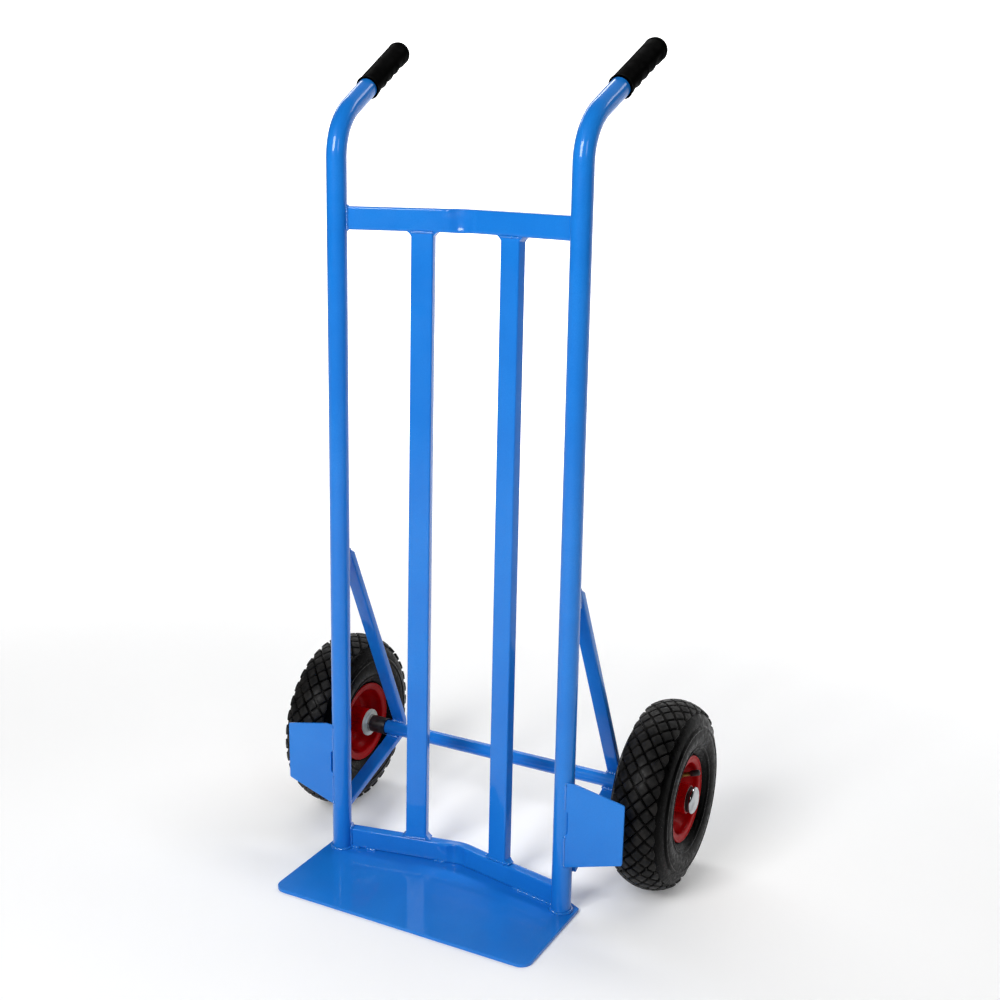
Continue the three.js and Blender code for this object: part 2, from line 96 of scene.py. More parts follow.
# Toe plate
PLATE_THICKNESS = box("toe_plate")[1].z
PLATE_FRONT_Y = box("toe_plate")[0].y
PLATE_FRONT_HALF_WIDTH = 193.0
PLATE_REAR_HALF_WIDTH = box("toe_plate")[1].x
PLATE_REAR_Y = 14.0
PLATE_CORNER_RADIUS = 17.0
PLATE_TAPER_X = 18.0  # behind PLATE_REAR_Y the plate narrows to a point
PLATE_TAPER_Y = 10.0

# Crossbars and slats
BAR_HEIGHT = 30.0
BAR_DEPTH = 15.0
BAR_CORNER = 2.4
TOP_BAR_Z = box("top_crossbar")[0].z
BOTTOM_BAR_Z = box("bottom_crossbar")[0].z
TOP_SETBACK = 46.0
BOTTOM_SETBACK = 34.5
BAR_END_X = TUBE_X - 7.5
SLAT_OVERLAP = 0.5  # of a slat's ends and the crossbars
SLAT_TOP_X = 63.0
SLAT_BOTTOM_X = 64.0

# Wheel guards and struts
GUARD_THICKNESS = 3.0
GUARD_FRONT_Y = -11.5
GUARD_INNER_X = TUBE_X + 6
GUARD_TOE_BACK = radians(3.8)
STRUT_WIDTH = 20.0
STRUT_DEPTH = 10.0
STRUT_CORNER = 1.8
STRUT_BEND = 19.0
STRUT_BEND_STEPS = 20

# Axle and wheels
AXLE = middle("axle_bar")
AXLE_RADIUS = 10.0
PAINTED_AXLE_END = box("right_axle_spacer")[0].x
WHEEL_X = middle("right_rim").x
WHEEL_RADIUS = 130.0
VALVE_ANGLE = radians(55)
WHEEL_STEPS = 120

# Tread
TREAD_ROWS = 35
TREAD_COLUMNS = 3  # on each side of the middle one
TREAD_COLUMN_PITCH = 10.4
TREAD_EDGE = 34.3
TREAD_GROOVE = 2.8
TREAD_DEPTH = 3.6
TREAD_CORNER = 2.2
TREAD_START = radians(21.8)
CROWN_RADIUS = 54.0  # of the tyre's section, about a circle CROWN_CENTRE from the axle
CROWN_CENTRE = WHEEL_RADIUS - CROWN_RADIUS


# ---- Materials ----

def new_node(tree, kind, **values):
    """A shader node; the values are for its inputs, with _ for each space in their names."""
    node = tree.nodes.new("ShaderNode" + kind)
    for name, value in values.items():
        node.inputs[name.replace("_", " ")].default_value = value
    return node


def eased(tree, source, low, high, start, end):
    """A number that goes smoothly from low to high as the source goes from start to end."""
    node = new_node(tree, "MapRange", From_Min=start, From_Max=end, To_Min=low, To_Max=high)
    node.interpolation_type = "SMOOTHSTEP"
    tree.links.new(source, node.inputs["Value"])
    return node.outputs["Result"]


class Finish:
    """A node material around one Principled shader, with helpers for its procedural detail."""

    def __init__(self, name, metallic=0.0, coat=0.0, coat_ior=1.38, specular=0.5, ior=1.5):
        self.material = bpy.data.materials.new(name)
        self.material.use_nodes = True
        self.tree = self.material.node_tree
        self.shader = self.tree.nodes["Principled BSDF"]
        self.shader.inputs["Metallic"].default_value = metallic
        self.shader.inputs["Coat Weight"].default_value = coat
        self.shader.inputs["Coat Roughness"].default_value = 0.05
        self.shader.inputs["Coat IOR"].default_value = coat_ior
        self.shader.inputs["Specular IOR Level"].default_value = specular
        self.shader.inputs["IOR"].default_value = ior
        self.place = new_node(self.tree, "TexCoord").outputs["Object"]

    def link(self, source, target):
        self.tree.links.new(source, target)

    def noise(self, scale, detail=3.0, stretch=None):
        """Noise from 0 to 1, with about scale features in a metre."""
        node = new_node(self.tree, "TexNoise", Scale=scale, Detail=detail)
        place = self.place
        if stretch is not None:
            mapping = new_node(self.tree, "Mapping", Scale=stretch)
            self.link(place, mapping.inputs["Vector"])
            place = mapping.outputs["Vector"]
        self.link(place, node.inputs["Vector"])
        return node.outputs["Fac"]

    def cells(self, scale):
        node = new_node(self.tree, "TexVoronoi", Scale=scale)
        self.link(self.place, node.inputs["Vector"])
        return node.outputs["Distance"]

    def varied(self, low, high, scale, detail=3.0, start=0.35, end=0.65, stretch=None):
        """A number from low to high that changes from place to place."""
        return eased(self.tree, self.noise(scale, detail, stretch), low, high, start, end)

    def product(self, first, second):
        node = new_node(self.tree, "Math")
        node.operation = "MULTIPLY"
        self.link(first, node.inputs[0])
        self.link(second, node.inputs[1])
        return node.outputs["Value"]

    def mix(self, factor, first, second):
        """A colour between two, each a linear RGB tuple or another node's output."""
        node = new_node(self.tree, "Mix")
        node.data_type = "RGBA"
        self.link(factor, node.inputs["Factor"])
        for socket, colour in ((node.inputs[6], first), (node.inputs[7], second)):
            if isinstance(colour, tuple):
                socket.default_value = (*colour, 1.0)
            else:
                self.link(colour, socket)
        return node.outputs[2]

    def mottled(self, first, second, **patches):
        """Patches of two colours; what varied takes sets their size and their edges."""
        return self.mix(self.varied(0, 1, **patches), first, second)

    def surfaced(self, colour, roughness, *relief):
        """The material. Relief is layers of (height, depth in metres), each on the one before."""
        self.link(colour, self.shader.inputs["Base Color"])
        self.link(roughness, self.shader.inputs["Roughness"])
        normal = None
        for height, depth in relief:
            node = new_node(self.tree, "Bump", Distance=depth)
            self.link(height, node.inputs["Height"])
            if normal is not None:
                self.link(normal, node.inputs["Normal"])
            normal = node.outputs["Normal"]
        if normal is not None:
            self.link(normal, self.shader.inputs["Normal"])
        return self.material


def linear(red, green, blue):
    """An sRGB colour from 0 to 255, as linear values."""
    return tuple((value / 255) ** 2.2 for value in (red, green, blue))


def paint(name, main, deep, coat, coat_ior=1.38, ior=1.5):
    """Glossy powder coat: slow colour drift, fine grain, orange peel and a clear coat."""
    finish = Finish(name, coat=coat, coat_ior=coat_ior, specular=0.12, ior=ior)
    drift = finish.varied(0, 0.6, scale=9)
    grain = finish.varied(0, 0.4, scale=700, detail=2)
    colour = finish.mix(grain, finish.mix(drift, main, deep), deep)
    roughness = finish.varied(0.3, 0.42, scale=60, detail=5)
    orange_peel, fine_grain = finish.noise(scale=45, detail=1), finish.noise(scale=420, detail=2)
    return finish.surfaced(colour, roughness, (orange_peel, 0.00012), (fine_grain, 0.00003))


BLUE, DEEP_BLUE = linear(34, 126, 217), linear(26, 114, 207)
RED, DEEP_RED = linear(176, 2, 16), linear(138, 1, 10)


def tyre_rubber(name, dark, grey, low, high, specular):
    finish = Finish(name, specular=specular, ior=1.3)
    colour = finish.mottled(dark, grey, scale=70, detail=6, start=0.4, end=0.62)
    roughness = finish.varied(low, high, scale=130, detail=4)
    lumps, pores = finish.noise(scale=150, detail=4), finish.noise(scale=1400, detail=2)
    return finish.surfaced(colour, roughness, (lumps, 0.0003), (pores, 0.00008))


def grip_rubber():
    finish = Finish("grip_rubber", specular=0.03, ior=1.2)
    patches = {"scale": 110, "detail": 6, "start": 0.55, "end": 0.75, "stretch": (1, 0.4, 0.8)}
    colour = finish.mottled(linear(4, 5, 5), linear(11, 13, 12), **patches)
    roughness = finish.varied(0.42, 0.6, scale=90, detail=5)
    lumps, pebbles = finish.noise(scale=70, detail=3), finish.cells(scale=900)
    return finish.surfaced(colour, roughness, (lumps, 0.0002), (pebbles, 0.00003))


def nylon():
    finish = Finish("white_nylon")
    colour = finish.mottled(linear(190, 194, 188), linear(160, 163, 154), scale=60, detail=5)
    roughness = finish.varied(0.38, 0.55, scale=140, detail=4)
    return finish.surfaced(colour, roughness, (finish.noise(scale=260, detail=3), 0.0001))


def black_plastic():
    finish = Finish("black_plastic")
    colour = finish.mottled(linear(20, 19, 22), linear(44, 42, 44), scale=160, detail=5)
    roughness = finish.varied(0.3, 0.5, scale=220, detail=4)
    return finish.surfaced(colour, roughness, (finish.noise(scale=500, detail=3), 0.00008))


def metal(name, bright, dull, low, high):
    finish = Finish(name, metallic=1.0)
    colour = finish.mottled(bright, dull, scale=90, detail=6, start=0.45, end=0.7)
    roughness = finish.varied(low, high, scale=200, detail=5)
    return finish.surfaced(colour, roughness, (finish.noise(scale=420, detail=3), 0.00004))


def make_materials():
    """One material for each of the record's slots."""
    dark, grey = linear(4, 4, 4), linear(9, 9, 9)
    soot, ash = linear(16, 16, 16), linear(26, 26, 26)
    return {
        "blue_paint": paint("blue_paint", BLUE, DEEP_BLUE, coat=0.85),
        "red_paint": paint("red_paint", RED, DEEP_RED, coat=0.06, coat_ior=1.3, ior=1.3),
        "tyre": tyre_rubber("tyre_rubber", dark, grey, low=0.25, high=0.45, specular=0.12),
        "inner_tube": tyre_rubber("tube_rubber", soot, ash, low=0.5, high=0.6, specular=0.3),
        "grip": grip_rubber(),
        "white_nylon": nylon(),
        "black_plastic": black_plastic(),
        "steel": metal("zinc_steel", linear(196, 196, 190), linear(140, 138, 130), 0.25, 0.45),
        "chrome": metal("chrome", linear(176, 179, 182), linear(142, 145, 150), 0.05, 0.12),
        "brass": metal("brass", linear(150, 118, 62), linear(84, 66, 40), 0.3, 0.5),
    }


MATERIALS = make_materials()
# The weld beads' paint is the same, run thick and shiny.
WELD_MATERIAL = paint("weld_paint", BLUE, DEEP_BLUE, coat=1.0, coat_ior=1.9)
TREAD_MATERIAL = tyre_rubber(
    "tread_rubber", linear(22, 22, 22), linear(37, 36, 35), low=0.4, high=0.62, specular=0.3,
)


# ---- Mesh helpers ----

SHARP_ANGLE = radians(38)


def make_object(name, bm, material):
    mesh = bpy.data.meshes.new(name)
    bm.to_mesh(mesh)
    bm.free()
    mesh.materials.append(material)
    made = bpy.data.objects.new(name, mesh)
    bpy.context.scene.collection.objects.link(made)
    return made


def add_piece(name, bm, body, slot, replaced=(), bevel=0.0, material=None):
    """Turns a bmesh in millimetres into a piece that rides on a body."""
    bmesh.ops.scale(bm, vec=(MM, MM, MM), verts=bm.verts)
    bmesh.ops.recalc_face_normals(bm, faces=bm.faces)
    for face in bm.faces:
        face.smooth = True
    for edge in bm.edges:
        edge.smooth = edge.is_manifold and edge.calc_face_angle() < SHARP_ANGLE
    piece = make_object(name, bm, material or MATERIALS[slot])
    if bevel:
        rounding = piece.modifiers.new("edge_rounding", "BEVEL")
        rounding.width = bevel * MM
        rounding.segments = 3
        rounding.limit_method = "ANGLE"
        rounding.angle_limit = SHARP_ANGLE
        rounding.harden_normals = True
    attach(piece, body)
    if replaced:
        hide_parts(*replaced)


def corner_arc(before, corner, after, radius, steps):
    """The arc that rounds off a corner between two straights and touches both."""
    back = (before - corner).normalized()
    ahead = (after - corner).normalized()
    half = back.angle(ahead) / 2
    centre = corner + (back + ahead).normalized() * radius / sin(half)
    start = corner + back * radius / tan(half) - centre
    end = corner + ahead * radius / tan(half) - centre
    turn = pi - 2 * half
    arc = []
    for k in range(steps + 1):
        t = k / steps
        blend = start * sin((1 - t) * turn) + end * sin(t * turn)
        arc.append(centre + blend / sin(turn))
    return arc


def rounded(points, radii, steps=4):
    """A closed outline in the plane, its corners turned into arcs."""
    outline = []
    for i, at in enumerate(points):
        radius = radii[i] if isinstance(radii, list) else radii
        before, after = Vector(points[i - 1]), Vector(points[(i + 1) % len(points)])
        outline += corner_arc(before, Vector(at), after, radius, steps)
    return outline


def rectangle(width, depth, corner, steps=4):
    w, d = width / 2, depth / 2
    return rounded([(-w, -d), (w, -d), (w, d), (-w, d)], corner, steps)


def circle(radius, sides):
    return [
        Vector((cos(2 * pi * i / sides), sin(2 * pi * i / sides))) * radius
        for i in range(sides)
    ]


def densified(points, spacing, closed=False):
    """The same line with extra points, no further apart than the spacing."""
    result = []
    last = len(points) if closed else len(points) - 1
    for i in range(last):
        start, end = points[i], points[(i + 1) % len(points)]
        pieces = max(1, ceil((end - start).length / spacing))
        result.extend(start.lerp(end, k / pieces) for k in range(pieces))
    if not closed:
        result.append(points[-1])
    return result


def bent_line(start, corner, end, radius, steps):
    return [start, *corner_arc(start, corner, end, radius, steps), end]


def frames_along(line, across, closed=False):
    """(point, across, up) at each point of a line, turning as little as it can."""
    frames = []
    count = len(line)
    for i, at in enumerate(line):
        if closed:
            tangent = line[(i + 1) % count] - line[i - 1]
        else:
            tangent = line[min(i + 1, count - 1)] - line[max(i - 1, 0)]
        tangent.normalize()
        across = (across - tangent * across.dot(tangent)).normalized()
        frames.append((at, across, tangent.cross(across)))
    return frames


def walls(bm, rings, closed=False):
    """Quads between rings of points. Returns the vertices, ring by ring."""
    rows = [[bm.verts.new(at) for at in ring] for ring in rings]
    count = len(rows[0])
    pairs = list(zip(rows, rows[1:]))
    if closed:
        pairs.append((rows[-1], rows[0]))
    for first, second in pairs:
        for i in range(count):
            j = (i + 1) % count
            bm.faces.new((first[i], first[j], second[j], second[i]))
    return rows


def skin(bm, rings, closed=False):
    """A closed surface through rings of points, capped where it ends."""
    rows = walls(bm, rings, closed)
    if not closed:
        bm.faces.new(list(reversed(rows[0])))
        bm.faces.new(rows[-1])
    return bm


def sweep(bm, frames, section):
    """Skins one section along frames; a section is a list of (across, up) points."""
    return skin(bm, [[at + across * p[0] + up * p[1] for p in section] for at, across, up in frames])


def revolve(profile, steps=WHEEL_STEPS):
    """A body of revolution about X from a closed profile of (along, radius) points."""
    rings = []
    for i in range(steps):
        angle = 2 * pi * i / steps
        sine, cosine = sin(angle), cos(angle)
        rings.append([Vector((p[0], p[1] * sine, p[1] * cosine)) for p in profile])
    return skin(bmesh.new(), rings, closed=True)


def slab(outline, thickness):
    """A flat plate in XY, from Z 0 up to its thickness."""
    return skin(bmesh.new(), [[Vector((p[0], p[1], z)) for p in outline] for z in (0, thickness)])


def smoothed(points, steps):
    """A line of (a, b) points made round by a Catmull-Rom curve."""
    result = []
    for i in range(len(points) - 1):
        before = Vector(points[max(i - 1, 0)])
        start, end = Vector(points[i]), Vector(points[i + 1])
        after = Vector(points[min(i + 2, len(points) - 1)])
        for k in range(steps):
            t = k / steps
            result.append(0.5 * (
                2 * start + (end - before) * t
                + (2 * before - 5 * start + 4 * end - after) * t ** 2
                + (3 * start - before - 3 * end + after) * t ** 3
            ))
    result.append(Vector(points[-1]))
    return result


def hump(distance, width):
    """A smooth rise: 1 where the distance is 0, and next to nothing at twice the width."""
    return exp(-(distance / width) ** 2)


# ---- Welds ----

BEAD_STEP = 0.8
BEAD_PITCH = 3.4  # of the ripples along a weld
BEAD_SIDES = 10
BEAD_RIPPLE = 0.2  # how far ripples and slow swelling change a weld's size
BEAD_SWELL = 0.26
BEAD_ACROSS = Vector((0.31, 0.17, 0.93))  # a direction that no bead runs along
FILLET_RIPPLE = 0.12
FILLET_SWELL = 0.2
FILLET_ROOT = 0.8


def rippled(travelled, depth):
    return 1 - depth + depth * abs(sin(pi * travelled / BEAD_PITCH))


def bead(bm, line, radius, closed=False, seed=0):
    """A painted weld bead: a rippled string along a line, tapered where it ends."""
    line = densified(line, BEAD_STEP, closed)
    frames = frames_along(line, BEAD_ACROSS, closed)
    rings = []
    for i, (at, across, up) in enumerate(frames):
        swell = 1 + BEAD_SWELL * noise.noise(at * 0.2 + Vector((seed, 0, 0)))
        size = radius * rippled(i * BEAD_STEP, BEAD_RIPPLE) * swell
        if not closed:
            from_end = min(i, len(frames) - 1 - i) * BEAD_STEP
            size *= sqrt(min(1, (from_end + 0.15) / (radius * 1.2)))
        ring = circle(size, BEAD_SIDES)
        rings.append([at + across * p.x + up * p.y for p in ring])
    skin(bm, rings, closed=closed)


def fillet(bm, start, end, out, up, size, seed=0):
    """A weld that fills the corner between two faces; out and up run along those faces."""
    line = densified([start, end], BEAD_STEP)
    rings = []
    for i, at in enumerate(line):
        swell = 1 + FILLET_SWELL * noise.noise(at * 0.16 + Vector((seed, 0, 0)))
        reach = size * rippled(i * BEAD_STEP, FILLET_RIPPLE) * swell
        section = [
            (-FILLET_ROOT, -FILLET_ROOT), (reach, -FILLET_ROOT), (reach, 0.2),
            (reach * 0.62, reach * 0.3), (reach * 0.3, reach * 0.62), (0.2, reach),
            (-FILLET_ROOT, reach),
        ]
        rings.append([at + out * a + up * b for a, b in section])
    skin(bm, rings)


# ---- Frame: tubes, grips and toe plate ----

def handle_line(sign):
    """The direction of a handle after its bend, and the corner where its straights meet."""
    direction = Vector((
        sign * sin(BEND_ANGLE) * sin(HANDLE_SPLAY),
        sin(BEND_ANGLE) * cos(HANDLE_SPLAY),
        cos(BEND_ANGLE),
    ))
    setback = BEND_RADIUS * tan(BEND_ANGLE / 2)
    corner = Vector((sign * TUBE_X, 0, BEND_START_Z + setback))
    return corner, direction, setback


def side_tube(name, sign):
    corner, direction, setback = handle_line(sign)
    foot = Vector((sign * TUBE_X, 0, PLATE_THICKNESS))
    end = corner + direction * (setback + HANDLE_STRAIGHT)
    line = bent_line(foot, corner, end, BEND_RADIUS, BEND_STEPS)
    bm = bmesh.new()
    sweep(bm, frames_along(line, Vector((1, 0, 0))), circle(TUBE_RADIUS, TUBE_SIDES))
    node = f"{name}_side_tube"
    add_piece(f"{name}_tube", bm, "frame", "blue_paint", [node])


def grip_radius(along):
    """The grip's round profile: a lip at its mouth, a ring near the end and a rounded end."""
    beyond = along - (GRIP_LENGTH - GRIP_END_ROUNDING)
    radius = GRIP_RADIUS + GRIP_LIP * hump(along - GRIP_LIP_AT, GRIP_LIP_WIDTH)
    radius += GRIP_RING * hump(beyond, GRIP_RING_WIDTH)
    if beyond > 0:
        radius -= GRIP_END_ROUNDING - sqrt(max(0.0, GRIP_END_ROUNDING ** 2 - beyond ** 2))
    return radius


def finger_groove(along, around):
    """How deep the finger grooves are at a place on the grip; around is 0 underneath."""
    where = (along - FINGER_START) / FINGER_PITCH
    if not 0 < where < FINGER_COUNT:
        return 0.0
    under = max(0.0, cos(around * 0.95)) ** 0.7 if abs(around) < 1.6 else 0.0
    return FINGER_DEPTH * under * sin(pi * (where % 1)) ** 0.8


def grip_stations():
    """Distances from the grip's mouth: close at the lip, even along it, close on its end."""
    even_start, even_end = 4.0, GRIP_LENGTH - GRIP_END_ROUNDING
    even_count = ceil((even_end - 0.5 - even_start) / GRIP_STEP)
    even = [even_start + GRIP_STEP * k for k in range(even_count)]
    turns = [radians(degrees) for degrees in range(0, 96, 6)]
    end = [even_end + GRIP_END_ROUNDING * sin(turn) for turn in turns]
    return [0, 0.4, 0.9, 1.5, 2.2, 3.0, *even, *end]


def grip(name, sign):
    corner, direction, setback = handle_line(sign)
    mouth = corner + direction * (setback + GRIP_MOUTH)
    down = Vector((0, 0, -1))
    down = (down - direction * down.dot(direction)).normalized()
    side = direction.cross(down)
    turns = [2 * pi * i / TUBE_SIDES for i in range(TUBE_SIDES)]
    outward = [down * cos(turn) + side * sin(turn) for turn in turns]
    around = [turn - 2 * pi if turn > pi else turn for turn in turns]
    bore = TUBE_RADIUS + GRIP_FIT
    rings = [[mouth + direction * along + out * bore for out in outward] for along in GRIP_INSIDE]
    for along in grip_stations():
        radii = [grip_radius(along) - finger_groove(along, a) for a in around]
        rings.append([mouth + direction * along + o * r for o, r in zip(outward, radii)])
    bm = skin(bmesh.new(), rings)
    add_piece(f"{name}_hand_grip", bm, "frame", "grip", [f"{name}_grip"])


def toe_plate():
    tip_y = box("toe_plate")[1].y
    front, rear, corner = PLATE_FRONT_HALF_WIDTH, PLATE_REAR_HALF_WIDTH, PLATE_CORNER_RADIUS
    half = [  # a point, and the radius of the corner there
        ((front, PLATE_FRONT_Y), corner),
        ((rear, PLATE_REAR_Y), 2),
        ((rear - PLATE_TAPER_X, PLATE_REAR_Y + PLATE_TAPER_Y), 4),
        ((0, tip_y), 12),
    ]
    points = [p for p, _ in half] + [(-x, y) for (x, y), _ in reversed(half[:-1])]
    radii = [r for _, r in half] + [r for _, r in reversed(half[:-1])]
    bm = slab(rounded(points, radii, 10), PLATE_THICKNESS)
    add_piece("toe_plate_sheet", bm, "frame", "blue_paint", ["toe_plate"], bevel=0.9)


# ---- Frame: crossbars and slats ----

BAR_BEND_RADIUS = 55.0
BAR_BEND_STEPS = 16
BAR_STEP = 2.5
DENT_DEPTH = 3.0
DENT_WIDTH_LEFT = 8
DENT_WIDTH_RIGHT = 15
DENT_RIDGES = ((-12, 0.7), (22, 0.8))  # beside a dent: distance from its middle, and height
RIDGE_WIDTH = 4.5
LOW_BULGE_HEIGHT = 1.5
LOW_BULGE_X = -14  # low on the face, just left of the dent
LOW_BULGE_WIDTH = 7
LOW_BULGE_LEVEL = -0.75
LOW_BULGE_SPREAD = 0.35
FACE_BULGE = 0.7  # of the face's upper and lower edges at a dent
FACE_BULGE_WIDTH = 12
TOP_DENT_X = -18.0
BOTTOM_DENT_X = -9.0
PLATE_GAP = 1.7  # under the bottom crossbar, and how much wider it is at one place
PLATE_GAP_WIDENING = 1.2
PLATE_GAP_X = 48.0
PLATE_GAP_SPREAD = 26


def bar_front(setback, x):
    """Where a crossbar's front is, along Y."""
    return setback * (1 - abs(x) / TUBE_X)


def bar_slope(setback):
    """Unit vectors along the right half of a V-shaped bar and square to it, pointing back."""
    angle = atan(setback / TUBE_X)
    along = Vector((cos(angle), -sin(angle), 0))
    back = Vector((sin(angle), cos(angle), 0))
    return along, back


def dent(x, level):
    """How far a crossbar's face is pressed in, x from the dent's middle; level is -1 to 1."""
    width = DENT_WIDTH_LEFT if x < 0 else DENT_WIDTH_RIGHT
    hollow = DENT_DEPTH * hump(x, width) * cos(level * 1.3)
    ridges = sum(height * hump(x - at, RIDGE_WIDTH) for at, height in DENT_RIDGES)
    low_bulge = LOW_BULGE_HEIGHT * hump(x - LOW_BULGE_X, LOW_BULGE_WIDTH)
    return hollow - ridges - low_bulge * hump(level - LOW_BULGE_LEVEL, LOW_BULGE_SPREAD)


def crossbar(name, node, setback, low, dent_x, raised=lambda x: 0.0):
    """A rectangular tube bent back at its middle; its underside can be raised along it."""
    along, back = bar_slope(setback)
    height = Vector((0, 0, low + BAR_HEIGHT / 2))
    corner = Vector((0, setback + BAR_DEPTH / 2 / back.y, 0)) + height
    reach = BAR_END_X / along.x
    right = corner + along * reach
    left = Vector((-right.x, right.y, right.z))
    line = densified(bent_line(left, corner, right, BAR_BEND_RADIUS, BAR_BEND_STEPS), BAR_STEP)
    frames = frames_along(line, Vector((0, -1, 0)))
    section = densified(rectangle(BAR_DEPTH, BAR_HEIGHT, BAR_CORNER), BAR_STEP, closed=True)
    rings = []
    for at, across, up in frames:
        press = hump(at.x - dent_x, FACE_BULGE_WIDTH)
        ring = []
        for p in section:
            front = max(0.0, p.x / (BAR_DEPTH / 2))
            level = p.y / (BAR_HEIGHT / 2)
            inward = front * dent(at.x - dent_x, level)
            bulge = FACE_BULGE * press * front * level
            lift = raised(at.x) * max(0.0, -level)
            ring.append(at + across * (p.x - inward) + up * (p.y + bulge + lift))
        rings.append(ring)
    bm = skin(bmesh.new(), rings)
    add_piece(name, bm, "frame", "blue_paint", [node])


def plate_gap(x):
    """The slot between the bottom crossbar and the toe plate, which its stitches bridge."""
    return PLATE_GAP + PLATE_GAP_WIDENING * hump(x - PLATE_GAP_X, PLATE_GAP_SPREAD)


def slat_axes(sign):
    angle = (atan(TOP_SETBACK / TUBE_X) + atan(BOTTOM_SETBACK / TUBE_X)) / 2
    across = Vector((cos(angle), -sign * sin(angle), 0))
    back = Vector((sign * sin(angle), cos(angle), 0))
    return across, back


def slat_end(sign, x, setback, z):
    _, back = slat_axes(sign)
    return Vector((sign * x, bar_front(setback, x), z)) + back * BAR_DEPTH / 2


def slat(name, sign):
    across, back = slat_axes(sign)
    bottom = slat_end(sign, SLAT_BOTTOM_X, BOTTOM_SETBACK, BOTTOM_BAR_Z + BAR_HEIGHT - SLAT_OVERLAP)
    top = slat_end(sign, SLAT_TOP_X, TOP_SETBACK, TOP_BAR_Z + SLAT_OVERLAP)
    frames = [(at, across, back) for at in densified([bottom, top], 60)]
    bm = sweep(bmesh.new(), frames, rectangle(BAR_HEIGHT, BAR_DEPTH, BAR_CORNER, 6))
    add_piece(f"{name}_upright", bm, "frame", "blue_paint", [f"{name}_slat"])


# ---- Frame: wheel guards and struts ----

GUARD_OUTLINE = [
    ((0, 73), 1.5), ((80.4, 94.6), 3), ((81, 178.0), 3), ((14, 193.5), 3), ((0, 193.5), 1.5),
    ((0, 155), 2), ((5, 152), 1.5), ((5, 122), 1.5), ((0, 119), 2),
]


def wheel_guard(name, sign):
    outline = rounded([p for p, _ in GUARD_OUTLINE], [r for _, r in GUARD_OUTLINE], 6)
    bm = slab(outline, GUARD_THICKNESS)
    stand = Matrix(((sign, 0, 0, 0), (0, 0, 1, 0), (0, 1, 0, 0), (0, 0, 0, 1)))
    turn = Matrix.Rotation(sign * GUARD_TOE_BACK, 4, "Z")
    place = Matrix.Translation((sign * GUARD_INNER_X, GUARD_FRONT_Y, 0))
    bmesh.ops.transform(bm, matrix=place @ turn @ stand, verts=bm.verts)
    node = f"{name}_wheel_guard"
    add_piece(f"{name}_guard_plate", bm, "frame", "blue_paint", [node], bevel=0.7)


STRUT_TOP = Vector((173.7, 0, 479.9))
STRUT_CORNER_POINT = Vector((177.3, 170.5, 123.2))
STRUT_FOOT = Vector((179.2, 9, 62.8))
STRUT_CUT_POINT = Vector((0, 16.8, 445.7))
STRUT_CUT_NORMAL = Vector((0, 0.513, 0.858))


def on_side(at, sign):
    return Vector((sign * at.x, at.y, at.z))


def strut(name, sign):
    top, corner, foot = (on_side(p, sign) for p in (STRUT_TOP, STRUT_CORNER_POINT, STRUT_FOOT))
    line = bent_line(top, corner, foot, STRUT_BEND, STRUT_BEND_STEPS)
    frames = frames_along(line, Vector((1, 0, 0)))
    section = rectangle(STRUT_WIDTH, STRUT_DEPTH, STRUT_CORNER, 5)
    bm = sweep(bmesh.new(), frames, section)
    geometry = bm.verts[:] + bm.edges[:] + bm.faces[:]
    bmesh.ops.bisect_plane(
        bm, geom=geometry, plane_co=STRUT_CUT_POINT, plane_no=STRUT_CUT_NORMAL, clear_outer=True,
    )
    rim_edges = [edge for edge in bm.edges if edge.is_boundary]
    bmesh.ops.contextual_create(bm, geom=rim_edges)
    add_piece(f"{name}_brace", bm, "frame", "blue_paint", [f"{name}_strut"])


# ---- Frame: weld beads ----

BAR_END_BEAD = 2.3
BOTTOM_BEAD_LIFT = 0.8  # the beads at the bottom crossbar's ends sit this much higher
SLAT_BEAD = 1.7
SLAT_FILLET = 6.0
SLAT_BEAD_GAP = 0.4  # from a crossbar to the bead round a slat's end
FILLET_INSET = 1.2  # of each fillet's ends
FOOT_BEAD = 2.3  # round the foot of each side tube
RING_HEIGHT = 0.9  # of that bead over the plate
RING_CLEARANCE = 0.7
BACK_BEAD = 2.2  # behind the bottom crossbar
STITCHES = (
    (-160, -147, 3.2), (-139, -122, 3.5), (-37, -29, 3.4), (-30, -20, 2.9), (92, 162, 2.3),
)  # along the bottom crossbar's front: from X, to X, radius
STITCH_FORWARD = 0.6  # of the crossbar's front
STITCH_HEIGHT = 0.7
BACK_BEAD_REACH = 156.0


def add_welds(name, bm):
    add_piece(name, bm, "frame", "blue_paint", material=WELD_MATERIAL)


def bar_end_loop(sign, setback, low):
    """Round the end of a crossbar, where it meets a side tube."""
    along, back = bar_slope(setback)
    section = densified(rectangle(BAR_DEPTH, BAR_HEIGHT, BAR_CORNER), 2, closed=True)
    loop = []
    for p in section:
        start = Vector((0, setback, 0)) + back * (p.x + BAR_DEPTH / 2)
        to_tube = Vector((TUBE_X, 0, 0)) - start
        nearest = to_tube.dot(along)
        missed = (to_tube - along * nearest).length
        reach = nearest - sqrt(max(0.0, TUBE_RADIUS ** 2 - missed ** 2))
        at = start + along * reach
        at.x = min(at.x, BAR_END_X)
        loop.append(Vector((sign * at.x, at.y, low + BAR_HEIGHT / 2 + p.y)))
    return loop


def crossbar_welds():
    bm = bmesh.new()
    ends = ((TOP_SETBACK, TOP_BAR_Z, 3), (BOTTOM_SETBACK, BOTTOM_BAR_Z + BOTTOM_BEAD_LIFT, 8))
    for _, sign in SIDES:
        for setback, low, seed in ends:
            bead(bm, bar_end_loop(sign, setback, low), BAR_END_BEAD, closed=True, seed=seed)
    add_welds("crossbar_welds", bm)


